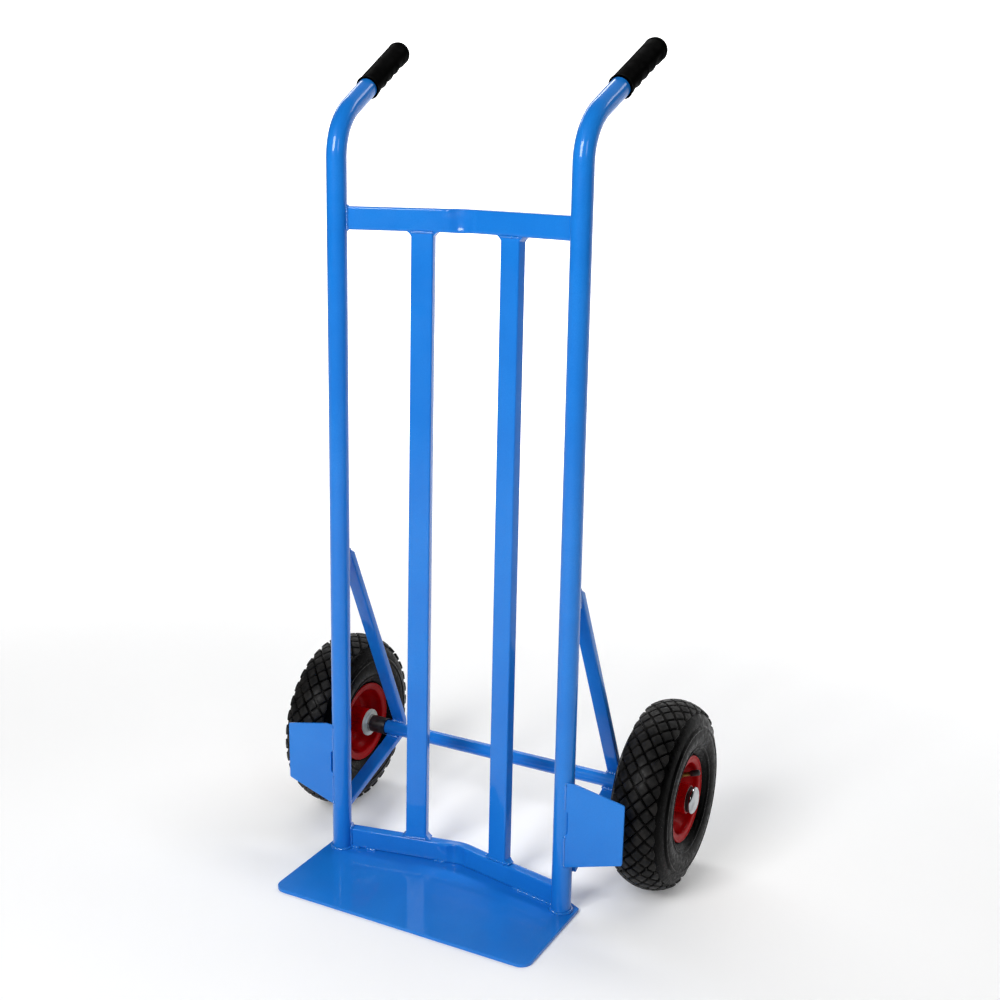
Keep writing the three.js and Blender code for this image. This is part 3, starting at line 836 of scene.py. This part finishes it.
def slat_welds():
    bm = bmesh.new()
    for _, sign in SIDES:
        across, back = slat_axes(sign)
        section = densified(rectangle(BAR_HEIGHT, BAR_DEPTH, BAR_CORNER), 2, closed=True)
        ends = [
            slat_end(sign, SLAT_BOTTOM_X, BOTTOM_SETBACK, BOTTOM_BAR_Z + BAR_HEIGHT + SLAT_BEAD_GAP),
            slat_end(sign, SLAT_TOP_X, TOP_SETBACK, TOP_BAR_Z - SLAT_BEAD_GAP),
        ]
        for k, end in enumerate(ends):
            loop = [end + across * p.x + back * p.y for p in section]
            bead(bm, loop, SLAT_BEAD, closed=True, seed=11 + k)
            up = Vector((0, 0, 1 - 2 * k))
            for side in (-1, 1):
                at = end + across * side * BAR_HEIGHT / 2 - up * SLAT_BEAD_GAP
                depth = back * (BAR_DEPTH / 2 - FILLET_INSET)
                fillet(bm, at - depth, at + depth, across * side, up, SLAT_FILLET, 13 + k + side)
    add_welds("slat_welds", bm)


def along_bottom_bar(xs, behind, height):
    """A line that follows the bottom crossbar's front, at a height over the toe plate."""
    height += PLATE_THICKNESS
    return [Vector((x, bar_front(BOTTOM_SETBACK, x) + behind, height)) for x in xs]


def plate_welds():
    """Rings round the tubes' feet, stitches in front of the bottom crossbar, a bead behind it."""
    bm = bmesh.new()
    for _, sign in SIDES:
        centre = Vector((sign * TUBE_X, 0, PLATE_THICKNESS + RING_HEIGHT))
        ring = [centre + Vector((p.x, p.y, 0)) for p in circle(TUBE_RADIUS + RING_CLEARANCE, 60)]
        bead(bm, ring, FOOT_BEAD, closed=True, seed=17)
    for start, end, size in STITCHES:
        line = along_bottom_bar((start, end), -STITCH_FORWARD, STITCH_HEIGHT)
        bead(bm, line, size, seed=23)
    slant = BAR_DEPTH / bar_slope(BOTTOM_SETBACK)[1].y
    line = along_bottom_bar((-BACK_BEAD_REACH, 0, BACK_BEAD_REACH), slant, RING_HEIGHT)
    bead(bm, line, BACK_BEAD, seed=29)
    add_welds("plate_welds", bm)


STRUT_WELDS = [  # on the right side: from a point, to a point, radius, seed
    ((163.6, 9.5, 424), (163.6, 8.5, 446), 2.0, 31),  # top end, inner edge
    ((183.8, 9.5, 424), (183.8, 8.5, 446), 2.0, 33),  # top end, outer edge
    ((163.6, 12.5, 449), (183.8, 12.5, 449), 2.6, 37),  # across the top end
    ((166.8, 156.0, 136.4), (187.2, 156.0, 136.4), 4.2, 41),  # on the axle: above it
    ((166.8, 141.5, 119.0), (187.2, 141.5, 119.0), 2.6, 43),  # under it
    ((166.8, 157.5, 123.5), (187.2, 157.5, 123.5), 3.0, 47),  # behind it
    ((170.5, 13.2, 60.2), (186, 8.8, 60.2), 1.8, 53),  # foot, lower edge
    ((170.5, 13.2, 71.6), (186, 8.8, 71.6), 1.8, 53),  # foot, upper edge
]


def strut_welds():
    bm = bmesh.new()
    for _, sign in SIDES:
        for start, end, size, seed in STRUT_WELDS:
            line = [on_side(Vector(start), sign), on_side(Vector(end), sign)]
            bead(bm, line, size, seed=seed)
    add_welds("strut_welds", bm)


GUARD_WELD_X = GUARD_INNER_X + 0.9
GUARD_BEADS = (  # how far the bead's line is behind the guard's front, and its radius
    (-0.2, 1.2), (GUARD_THICKNESS + 1.2, 1.9),
)
GUARD_BEAD_HEIGHTS = ((74, 118), (156, 193))
TACK_HEIGHTS = (190, 116, 76)
TACK_RADIUS = 2.0
TACK_REACH = Vector((0, 0, 2))


def guard_welds():
    bm = bmesh.new()
    for _, sign in SIDES:
        x = sign * GUARD_WELD_X
        for behind, size in GUARD_BEADS:
            y = GUARD_FRONT_Y + behind
            for low, high in GUARD_BEAD_HEIGHTS:
                bead(bm, [Vector((x, y, low)), Vector((x, y, high))], size, seed=59)
        for height in TACK_HEIGHTS:
            tack = Vector((x, GUARD_FRONT_Y - 0.3, height))
            bead(bm, [tack - TACK_REACH, tack + TACK_REACH], TACK_RADIUS, seed=71)
    add_welds("guard_welds", bm)


# ---- Axle and its fittings ----

def rod(radius, start, end):
    """A round bar along X, with caps."""
    outline = circle(radius, TUBE_SIDES)
    return skin(bmesh.new(), [[Vector((x, p.x, p.y)) for p in outline] for x in (start, end)])


def washer(start, end, bore, radius, corner):
    profile = rounded([(start, bore), (start, radius), (end, radius), (end, bore)], corner)
    return revolve(profile, 64)


def at_axle(bm):
    bmesh.ops.translate(bm, vec=(0, AXLE.y, AXLE.z), verts=bm.verts)
    return bm


def wheel_place(sign):
    turn = Matrix.Rotation(0 if sign > 0 else pi, 4, "Z")
    return Matrix.Translation((sign * WHEEL_X, AXLE.y, AXLE.z)) @ turn


def placed(bm, sign):
    """Moves a bmesh from the wheel's own frame, X outboard from its centre, to its place."""
    bmesh.ops.transform(bm, matrix=wheel_place(sign), verts=bm.verts)
    return bm


PAINT_UNDER_SPACER = 4.0
AXLE_GAP = 0.1  # between the painted and the bare stretch of the axle
AXLE_OVERHANG = 42.0  # outboard of a wheel's centre


def axle():
    paint_end = PAINTED_AXLE_END + PAINT_UNDER_SPACER
    bar = at_axle(rod(AXLE_RADIUS, -paint_end, paint_end))
    add_piece("axle_tube", bar, "frame", "blue_paint", ["axle_bar"], bevel=0.4)
    for name, sign in SIDES:
        start, end = sign * (paint_end + AXLE_GAP), sign * (WHEEL_X + AXLE_OVERHANG)
        bar = at_axle(rod(AXLE_RADIUS - AXLE_GAP, start, end))
        add_piece(f"{name}_axle_end", bar, "frame", "steel")


AXLE_FIT = 0.1  # between the axle and what is pushed on it
WASHERS = (  # node, piece, slot, radius, radius of its edges
    ("axle_spacer", "spacer", "black_plastic", 12.5, 0.8),
    ("inner_washer", "steel_washer", "steel", 13.1, 0.3),
    ("outer_washer", "black_washer", "black_plastic", 17.4, 0.8),
)
CAP_RADIUS = 18.5
CAP_HEIGHT = 6.4
CAP_SHEET = 1.1
CAP_SKIRT = 1.4
CAP_STEPS = 13
CAP_LIP = 0.4
CAP_TIP = 0.05  # radius of the pinhole that closes the dome's grid
CAP_GAP = 0.3


def domed_cap(start):
    """A pressed cap: a shallow dome with a short rolled skirt."""
    outside = [
        (start, CAP_RADIUS - CAP_LIP), (start + 0.5, CAP_RADIUS), (start + CAP_SKIRT, CAP_RADIUS),
    ]
    for k in range(1, CAP_STEPS):
        angle = pi / 2 * (1 - k / CAP_STEPS)
        along = CAP_SKIRT + (CAP_HEIGHT - CAP_SKIRT) * cos(angle)
        outside.append((start + along, CAP_RADIUS * sin(angle) ** 0.9))
    outside.append((start + CAP_HEIGHT, CAP_TIP))
    inside = [(start + CAP_HEIGHT - CAP_SHEET, CAP_TIP)]
    inside += [(x - CAP_SHEET, r - CAP_SHEET) for x, r in reversed(outside[3:-2])]
    inside.append((start, CAP_RADIUS - CAP_SHEET - 0.3))
    return revolve([*outside, *inside], 96)


def along_axle(node):
    """Where a fitting starts and ends, outboard from its wheel's centre."""
    return sorted(abs(corner.x) - WHEEL_X for corner in box(node))


def axle_fittings(name, sign):
    for node, piece, slot, radius, corner in WASHERS:
        start, end = along_axle(f"{name}_{node}")
        bm = placed(washer(start, end, AXLE_RADIUS + AXLE_FIT, radius, corner), sign)
        add_piece(f"{name}_{piece}", bm, "frame", slot, [f"{name}_{node}"])
    _, washer_end = along_axle(f"{name}_outer_washer")
    bm = placed(domed_cap(washer_end + CAP_GAP), sign)
    add_piece(f"{name}_chrome_cap", bm, "frame", "chrome", [f"{name}_axle_cap"])


# ---- Wheels, in their own frame: X outboard from the wheel's centre ----

TYRE_INSIDE = [(28, 57.5), (36, 74), (37.4, 92), (31, 110), (12, 121), (0, 122)]
TYRE_BEAD = [(28.2, 57.5), (28.7, 58.6), (29.6, 59.7), (31.2, 61.3), (33.4, 63.8), (35.4, 66.6)]
BEAD_RING = [(36.6, 68.6), (37.9, 69.3), (38.9, 70.9), (39.0, 72.4), (38.3, 73.6)]
SIDEWALL = [(39.9, 77.5), (41.0, 82.5), (41.4, 88), (40.9, 92.5)]
SHOULDER_RING = [(40.3, 95.2), (40.8, 96.8), (40.6, 98.6), (39.6, 100.2), (38.2, 101)]
SHOULDER = [(37.6, 101.8), (36.6, 106), (34.6, 111), (31.8, 115.2)]


PROFILE_STEPS = 3  # between two points of a smoothed profile
FLOOR_STEPS = 8  # of the grooves' floor, on each side of the middle


def add_to_wheel(name, sign, piece, bm, slot, replaced=(), material=None):
    """Adds a piece, made in the wheel's own frame, that turns with the wheel."""
    nodes = [f"{name}_{node}" for node in replaced]
    bm = placed(bm, sign)
    add_piece(f"{name}_{piece}", bm, f"{name}_wheel", slot, nodes, material=material)


def crown(offset, height):
    """The tread's section: the distance along X and the radius, at an offset from its middle."""
    angle = offset / CROWN_RADIUS
    reach = CROWN_RADIUS + height
    return reach * sin(angle), CROWN_CENTRE + reach * cos(angle)


def mirrored(points):
    """The other half of an outline, walked backwards."""
    return [Vector((-p.x, p.y)) for p in reversed(points)]


def tyre_profile():
    half = smoothed([*TYRE_BEAD, *BEAD_RING, *SIDEWALL, *SHOULDER_RING, *SHOULDER], PROFILE_STEPS)
    for k in range(FLOOR_STEPS):
        half.append(Vector(crown(TREAD_EDGE * (1 - k / FLOOR_STEPS), -TREAD_DEPTH)))
    outside = half + [Vector(crown(0, -TREAD_DEPTH))]
    inside = list(reversed(smoothed(TYRE_INSIDE, PROFILE_STEPS)))
    return outside + mirrored(half) + mirrored(inside) + inside[1:]


def tyre(name, sign):
    add_to_wheel(name, sign, "tyre_body", revolve(tyre_profile()), "tyre", ["tyre"])


TREAD_LAYERS = (  # rings of a block: inset, height, clear of the tread's edge
    (-0.7, -TREAD_DEPTH - 0.6, 0.0), (0.2, -0.7, 0.3), (0.5, -0.12, 0.8), (1.3, -0.02, 1.6),
)
TREAD_PEAK_EDGE = TREAD_EDGE - 2.5


def tread_point(offset, angle, height):
    x, radius = crown(offset, height)
    return Vector((x, -radius * sin(angle), radius * cos(angle)))


def tread_block(bm, column, angle):
    """One rounded diamond: its foot below the groove's floor, its edge eased at the top."""
    half_length = pi * WHEEL_RADIUS / TREAD_ROWS
    half_width = TREAD_COLUMN_PITCH
    slant = half_length * half_width / hypot(half_length, half_width)
    rings = []
    for inset, height, edge in TREAD_LAYERS:
        scale = 1 - (TREAD_GROOVE / 2 + inset) / slant
        corners = [
            (half_length * scale, 0), (0, half_width * scale),
            (-half_length * scale, 0), (0, -half_width * scale),
        ]
        ring = []
        for p in rounded(corners, TREAD_CORNER * scale, 3):
            limit = TREAD_EDGE - edge
            offset = max(-limit, min(limit, column * TREAD_COLUMN_PITCH + p.y))
            ring.append(tread_point(offset, angle + p.x / WHEEL_RADIUS, height))
        rings.append(ring)
    rows = walls(bm, rings)
    bm.faces.new(rows[0])
    middle_offset = max(-TREAD_PEAK_EDGE, min(TREAD_PEAK_EDGE, column * TREAD_COLUMN_PITCH))
    peak = bm.verts.new(tread_point(middle_offset, angle, TREAD_LAYERS[-1][1]))
    top = rows[-1]
    for i, corner in enumerate(top):
        bm.faces.new((corner, top[(i + 1) % len(top)], peak))


def tread(name, sign):
    bm = bmesh.new()
    pitch = 2 * pi / TREAD_ROWS
    for column in range(-TREAD_COLUMNS, TREAD_COLUMNS + 1):
        stagger = 0 if column % 2 else pitch / 2
        for row in range(TREAD_ROWS):
            tread_block(bm, column, TREAD_START + stagger + row * pitch)
    add_to_wheel(name, sign, "tread", bm, "tyre", material=TREAD_MATERIAL)


RIM_DISH = [(1.6, 19.6), (1.6, 30), (2.2, 34), (4.6, 37.6), (8.4, 40), (14, 42.4), (19, 45.6)]
RIM_WALL = [(23, 47.6), (28, 48.4), (30.2, 49.6), (30.9, 52.6), (31.2, 56)]
RIM_LIP = [(31.9, 57.4), (32.3, 58.4), (31.9, 59.2), (31.0, 59.4), (30.1, 58.9), (29.7, 57.8)]
RIM_BACK = [(29.2, 54), (28.6, 51.6), (26, 50.6), (21, 49.6), (14, 46.4), (8, 43.6), (0, 42.6)]


def rim(name, sign):
    face = smoothed([*RIM_DISH, *RIM_WALL, *RIM_LIP, *RIM_BACK], PROFILE_STEPS)
    shell = revolve(face[:-1] + mirrored(face))
    add_to_wheel(name, sign, "rim_shell", shell, "red_paint", ["rim"])


HUB_START = -37.2
HUB_END = 35
HUB_BORE = 17
HUB_RADIUS = 19.5
HUB_WELD_OFFSET = 2.4  # each side of the rim's disc
HUB_WELD_RADIUS = 1.6
BUSH_BORE = AXLE_RADIUS + 0.25
BUSH_SLEEVE = 16.7
BUSH_LENGTH = 20
FLANGE_RADIUS = 20.2
FLANGE_END = -42.5
FLANGE_BACK = -37.5
FLANGE_BOSS = [(FLANGE_END, 14.2), (-41.4, 15.6), (-41.0, FLANGE_RADIUS)]


def hub(name, sign):
    tube = washer(HUB_START, HUB_END, HUB_BORE, HUB_RADIUS, 0.8)
    add_to_wheel(name, sign, "hub_tube", tube, "red_paint", ["hub"])
    welds = bmesh.new()
    for offset, seed in ((HUB_WELD_OFFSET, 61), (-HUB_WELD_OFFSET, 67)):
        line = [Vector((offset, p.x, p.y)) for p in circle(HUB_RADIUS + 0.5, 72)]
        bead(welds, line, HUB_WELD_RADIUS, closed=True, seed=seed)
    add_to_wheel(name, sign, "hub_welds", welds, "red_paint")


def bushes(name, sign):
    sleeve_end = FLANGE_BACK + BUSH_LENGTH
    points = [
        (FLANGE_END, BUSH_BORE), *FLANGE_BOSS, (FLANGE_BACK, FLANGE_RADIUS),
        (FLANGE_BACK, BUSH_SLEEVE), (sleeve_end, BUSH_SLEEVE), (sleeve_end, BUSH_BORE),
    ]
    profile = rounded(points, [0.4, 0.5, 0.5, 1.5, 0.9, 0.1, 0.4, 0.4])
    add_to_wheel(name, sign, "flanged_bush", revolve(profile, 72), "white_nylon", ["inner_bush"])
    plain = washer(HUB_END - BUSH_LENGTH, HUB_END, BUSH_BORE, BUSH_SLEEVE, 0.5)
    add_to_wheel(name, sign, "plain_bush", plain, "white_nylon", ["outer_bush"])


def at_valve(along, radius):
    return Vector((along, radius * sin(VALVE_ANGLE), radius * cos(VALVE_ANGLE)))


VALVE_BASE = (7, 44.2)
VALVE_ELBOW = (7, 31)
VALVE_TIP = (24.5, 38.7)
VALVE_NECK = 8  # from the elbow to the collar
VALVE_BEND = 4.2
VALVE_RADIUS = 3.2
VALVE_SIDES = 24
COLLAR_RADIUS = 3.9
COLLAR_REACH = 1.5  # each way along the stem
THREAD_RADIUS = 3.0
THREAD_DEPTH = 0.35
THREAD_PITCH = 1.1
VALVE_KNURL = 0.18
VALVE_CAP = [  # the cap's profile: distance past the tip, radius
    (0.3, 3.4), (0.3, 4.0), (0.9, 4.3), (11.0, 4.2), (12.3, 3.9), (13.1, 3.2), (13.5, 2.0),
]


def threaded(start, end):
    """A stem whose surface rises and falls with the turns of a thread."""
    count = ceil((end - start).length / (THREAD_PITCH / 4))
    line = [start.lerp(end, k / count) for k in range(count + 1)]
    rings = []
    for k, (at, across, up) in enumerate(frames_along(line, Vector((0, 1, 0.2)))):
        size = THREAD_RADIUS - THREAD_DEPTH * (0.5 + 0.5 * cos(k * pi / 2))
        rings.append([at + across * p.x + up * p.y for p in circle(size, VALVE_SIDES)])
    return rings


def valve_cap(tip, outward):
    """A knurled cap: shallow notches run along it."""
    rings = []
    for along, radius in VALVE_CAP:
        notch = VALVE_KNURL if 0.5 < along < 12 else 0.0
        at = tip + outward * along
        _, across, up = frames_along([at, at + outward], Vector((0, 1, 0)))[0]
        ring = []
        for i, p in enumerate(circle(1, 48)):
            size = radius - (notch if i % 4 == 0 else 0)
            ring.append(at + across * p.x * size + up * p.y * size)
        rings.append(ring)
    return skin(bmesh.new(), rings)


def pipe(bm, line, radius):
    return sweep(bm, frames_along(line, Vector((0, 1, 0))), circle(radius, VALVE_SIDES))


def valve(name, sign):
    base, elbow, tip = at_valve(*VALVE_BASE), at_valve(*VALVE_ELBOW), at_valve(*VALVE_TIP)
    outward = (tip - elbow).normalized()
    neck = elbow + outward * VALVE_NECK
    bm = pipe(bmesh.new(), bent_line(base, elbow, neck, VALVE_BEND, 12), VALVE_RADIUS)
    skin(bm, threaded(neck - outward, tip))
    pipe(bm, [neck - outward * COLLAR_REACH, neck + outward * COLLAR_REACH], COLLAR_RADIUS)
    add_to_wheel(name, sign, "valve", bm, "brass", ["valve_stem"])
    add_to_wheel(name, sign, "valve_top", valve_cap(tip, outward), "black_plastic", ["valve_cap"])


# ---- Stage ----

CAMERA_PLACE = (850.596, -1519.45, 1001.228)
CAMERA_YAW = radians(27.69)
CAMERA_PITCH = radians(13.187)
CAMERA_ROLL = radians(0.917)
CAMERA_LENS = 49.896
CAMERA_SHIFT = (0.0122, -0.0366)


def camera():
    """Seen from in front and to the right, from a little below the grips' height."""
    data = bpy.data.cameras.new("camera")
    data.lens = CAMERA_LENS
    data.shift_x, data.shift_y = CAMERA_SHIFT
    viewer = bpy.data.objects.new("camera", data)
    tilt = Matrix.Rotation(pi / 2 - CAMERA_PITCH, 4, "X")
    turn = Matrix.Rotation(CAMERA_YAW, 4, "Z") @ tilt @ Matrix.Rotation(CAMERA_ROLL, 4, "Z")
    viewer.matrix_world = Matrix.Translation(Vector(CAMERA_PLACE) * MM) @ turn
    bpy.context.scene.collection.objects.link(viewer)
    bpy.context.scene.camera = viewer


FLOOR_HALF_WIDTH = 9.0  # the floor and lights are in metres
FLOOR_NEAR = -7.0
FLOOR_FAR = 4.0
FLOOR_CURVE = 1.2
BACKDROP_TOP = 2.3
CURVE_STEPS = 16
FLOOR_PALE, FLOOR_DULL = (0.88, 0.88, 0.88), (0.86, 0.86, 0.86)
FLOOR_GLOW = 0.17
FAR_FLOOR_GLOW = 0.9
FAR_FLOOR_START = 0.8  # metres from the object's middle
FAR_FLOOR_END = 3.6


def seen_directly(tree):
    """1 for what any camera sees directly, 0 for light that falls on or reflects in the object."""
    return new_node(tree, "LightPath").outputs["Is Camera Ray"]


def chosen(tree, factor, otherwise, value):
    """A number: the other node's output where the factor is 0, and the value where it is 1."""
    node = new_node(tree, "Mix", B=value)
    tree.links.new(factor, node.inputs["Factor"])
    if isinstance(otherwise, float):
        node.inputs["A"].default_value = otherwise
    else:
        tree.links.new(otherwise, node.inputs["A"])
    return node.outputs["Result"]


def pale_far_off(finish):
    """The floor stays pale beyond the lamps' reach, without adding light to the object."""
    distance = new_node(finish.tree, "VectorMath")
    distance.operation = "LENGTH"
    finish.link(finish.place, distance.inputs[0])
    away = distance.outputs["Value"]
    far = eased(finish.tree, away, 0, 1, FAR_FLOOR_START, FAR_FLOOR_END)
    shown = finish.product(far, seen_directly(finish.tree))
    glow = chosen(finish.tree, shown, FLOOR_GLOW, FAR_FLOOR_GLOW)
    finish.link(glow, finish.shader.inputs["Emission Strength"])


def floor():
    """A pale studio floor that curves up into a backdrop behind the object."""
    finish = Finish("floor", specular=0.1)
    colour = finish.mix(finish.noise(scale=3), FLOOR_PALE, FLOOR_DULL)
    finish.surfaced(colour, finish.varied(0.7, 0.8, scale=40))
    finish.shader.inputs["Emission Color"].default_value = (1, 1, 1, 1)
    pale_far_off(finish)
    bm = bmesh.new()
    flat_end = FLOOR_FAR - FLOOR_CURVE
    line = [(FLOOR_NEAR, 0), (flat_end, 0)]
    for k in range(1, CURVE_STEPS + 1):
        angle = pi / 2 * k / CURVE_STEPS
        away = flat_end + FLOOR_CURVE * sin(angle)
        line.append((away, FLOOR_CURVE * (1 - cos(angle))))
    line.append((FLOOR_FAR, BACKDROP_TOP))
    sides = (-FLOOR_HALF_WIDTH, FLOOR_HALF_WIDTH)
    rows = [[bm.verts.new((x, y, z)) for x in sides] for y, z in line]
    for first, second in zip(rows, rows[1:]):
        bm.faces.new((*first, *reversed(second))).smooth = True
    make_object("floor", bm, finish.material)


OBJECT_MIDDLE = (0, 0.05, 0.5)
LAMPS = (  # name, place, width and height, power in watts, what it points at
    ("key_light", (-0.2, -2.2, 1.9), (1.0, 1.0), 57, OBJECT_MIDDLE),
    ("fill_light", (1.9, -1.7, 1.8), (0.5, 0.9), 7, OBJECT_MIDDLE),
    ("backdrop_light", (-1.2, 2.4, 3.4), (9.0, 1.2), 190, (-1.2, 2.9, 0)),
)


def area_light(name, at, size, power, target):
    data = bpy.data.lights.new(name, "AREA")
    data.shape = "RECTANGLE"
    data.size, data.size_y = size
    data.energy = power
    lamp = bpy.data.objects.new(name, data)
    lamp.location = at
    aim = Vector(target) - Vector(at)
    lamp.rotation_euler = aim.to_track_quat("-Z", "Y").to_euler()
    bpy.context.scene.collection.objects.link(lamp)


SKY_DIM = 0.006
SKY_BRIGHT = 0.028
SKY_BRIGHTEST_AT = (0.25, -0.8, 0.55)
SKY_FADE_START = -0.3  # cosines of the angle from there
SKY_FADE_END = 0.9
BACKGROUND = 0.97  # what the camera sees past the floor


def sky():
    """Soft light from all round, bright in front of the object and dim behind it.

    The camera sees a plain pale background in every direction.
    """
    world = bpy.data.worlds.new("studio")
    world.use_nodes = True
    tree = world.node_tree
    tree.nodes["Background"].inputs["Color"].default_value = (1, 1, 1, 1)
    direction = new_node(tree, "TexCoord").outputs["Generated"]
    facing = new_node(tree, "VectorMath")
    facing.operation = "DOT_PRODUCT"
    facing.inputs[1].default_value = Vector(SKY_BRIGHTEST_AT).normalized()
    tree.links.new(direction, facing.inputs[0])
    facing = facing.outputs["Value"]
    glow = eased(tree, facing, SKY_DIM, SKY_BRIGHT, SKY_FADE_START, SKY_FADE_END)
    strength = chosen(tree, seen_directly(tree), glow, BACKGROUND)
    tree.links.new(strength, tree.nodes["Background"].inputs["Strength"])
    bpy.context.scene.world = world


def studio():
    bpy.context.scene.view_settings.view_transform = "Standard"
    sky()
    for lamp in LAMPS:
        area_light(*lamp)


# ---- Everything together ----

def cad_finishes():
    """The air tubes stay as the CAD has them; only their material is set."""
    for name, _ in SIDES:
        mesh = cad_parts[f"{name}_inner_tube"].data
        mesh.materials.clear()
        mesh.materials.append(MATERIALS["inner_tube"])


ON_EACH_SIDE = (
    side_tube, grip, slat, wheel_guard, strut, axle_fittings, tyre, tread, rim, hub, bushes, valve,
)
WELDS = (crossbar_welds, slat_welds, plate_welds, strut_welds, guard_welds)

camera()
studio()
floor()
cad_finishes()
toe_plate()
crossbar("top_bar", "top_crossbar", TOP_SETBACK, TOP_BAR_Z, TOP_DENT_X)
crossbar(
    "bottom_bar", "bottom_crossbar", BOTTOM_SETBACK, BOTTOM_BAR_Z, BOTTOM_DENT_X, plate_gap,
)
axle()
for side, direction in SIDES:
    for build in ON_EACH_SIDE:
        build(side, direction)
for weld in WELDS:
    weld()
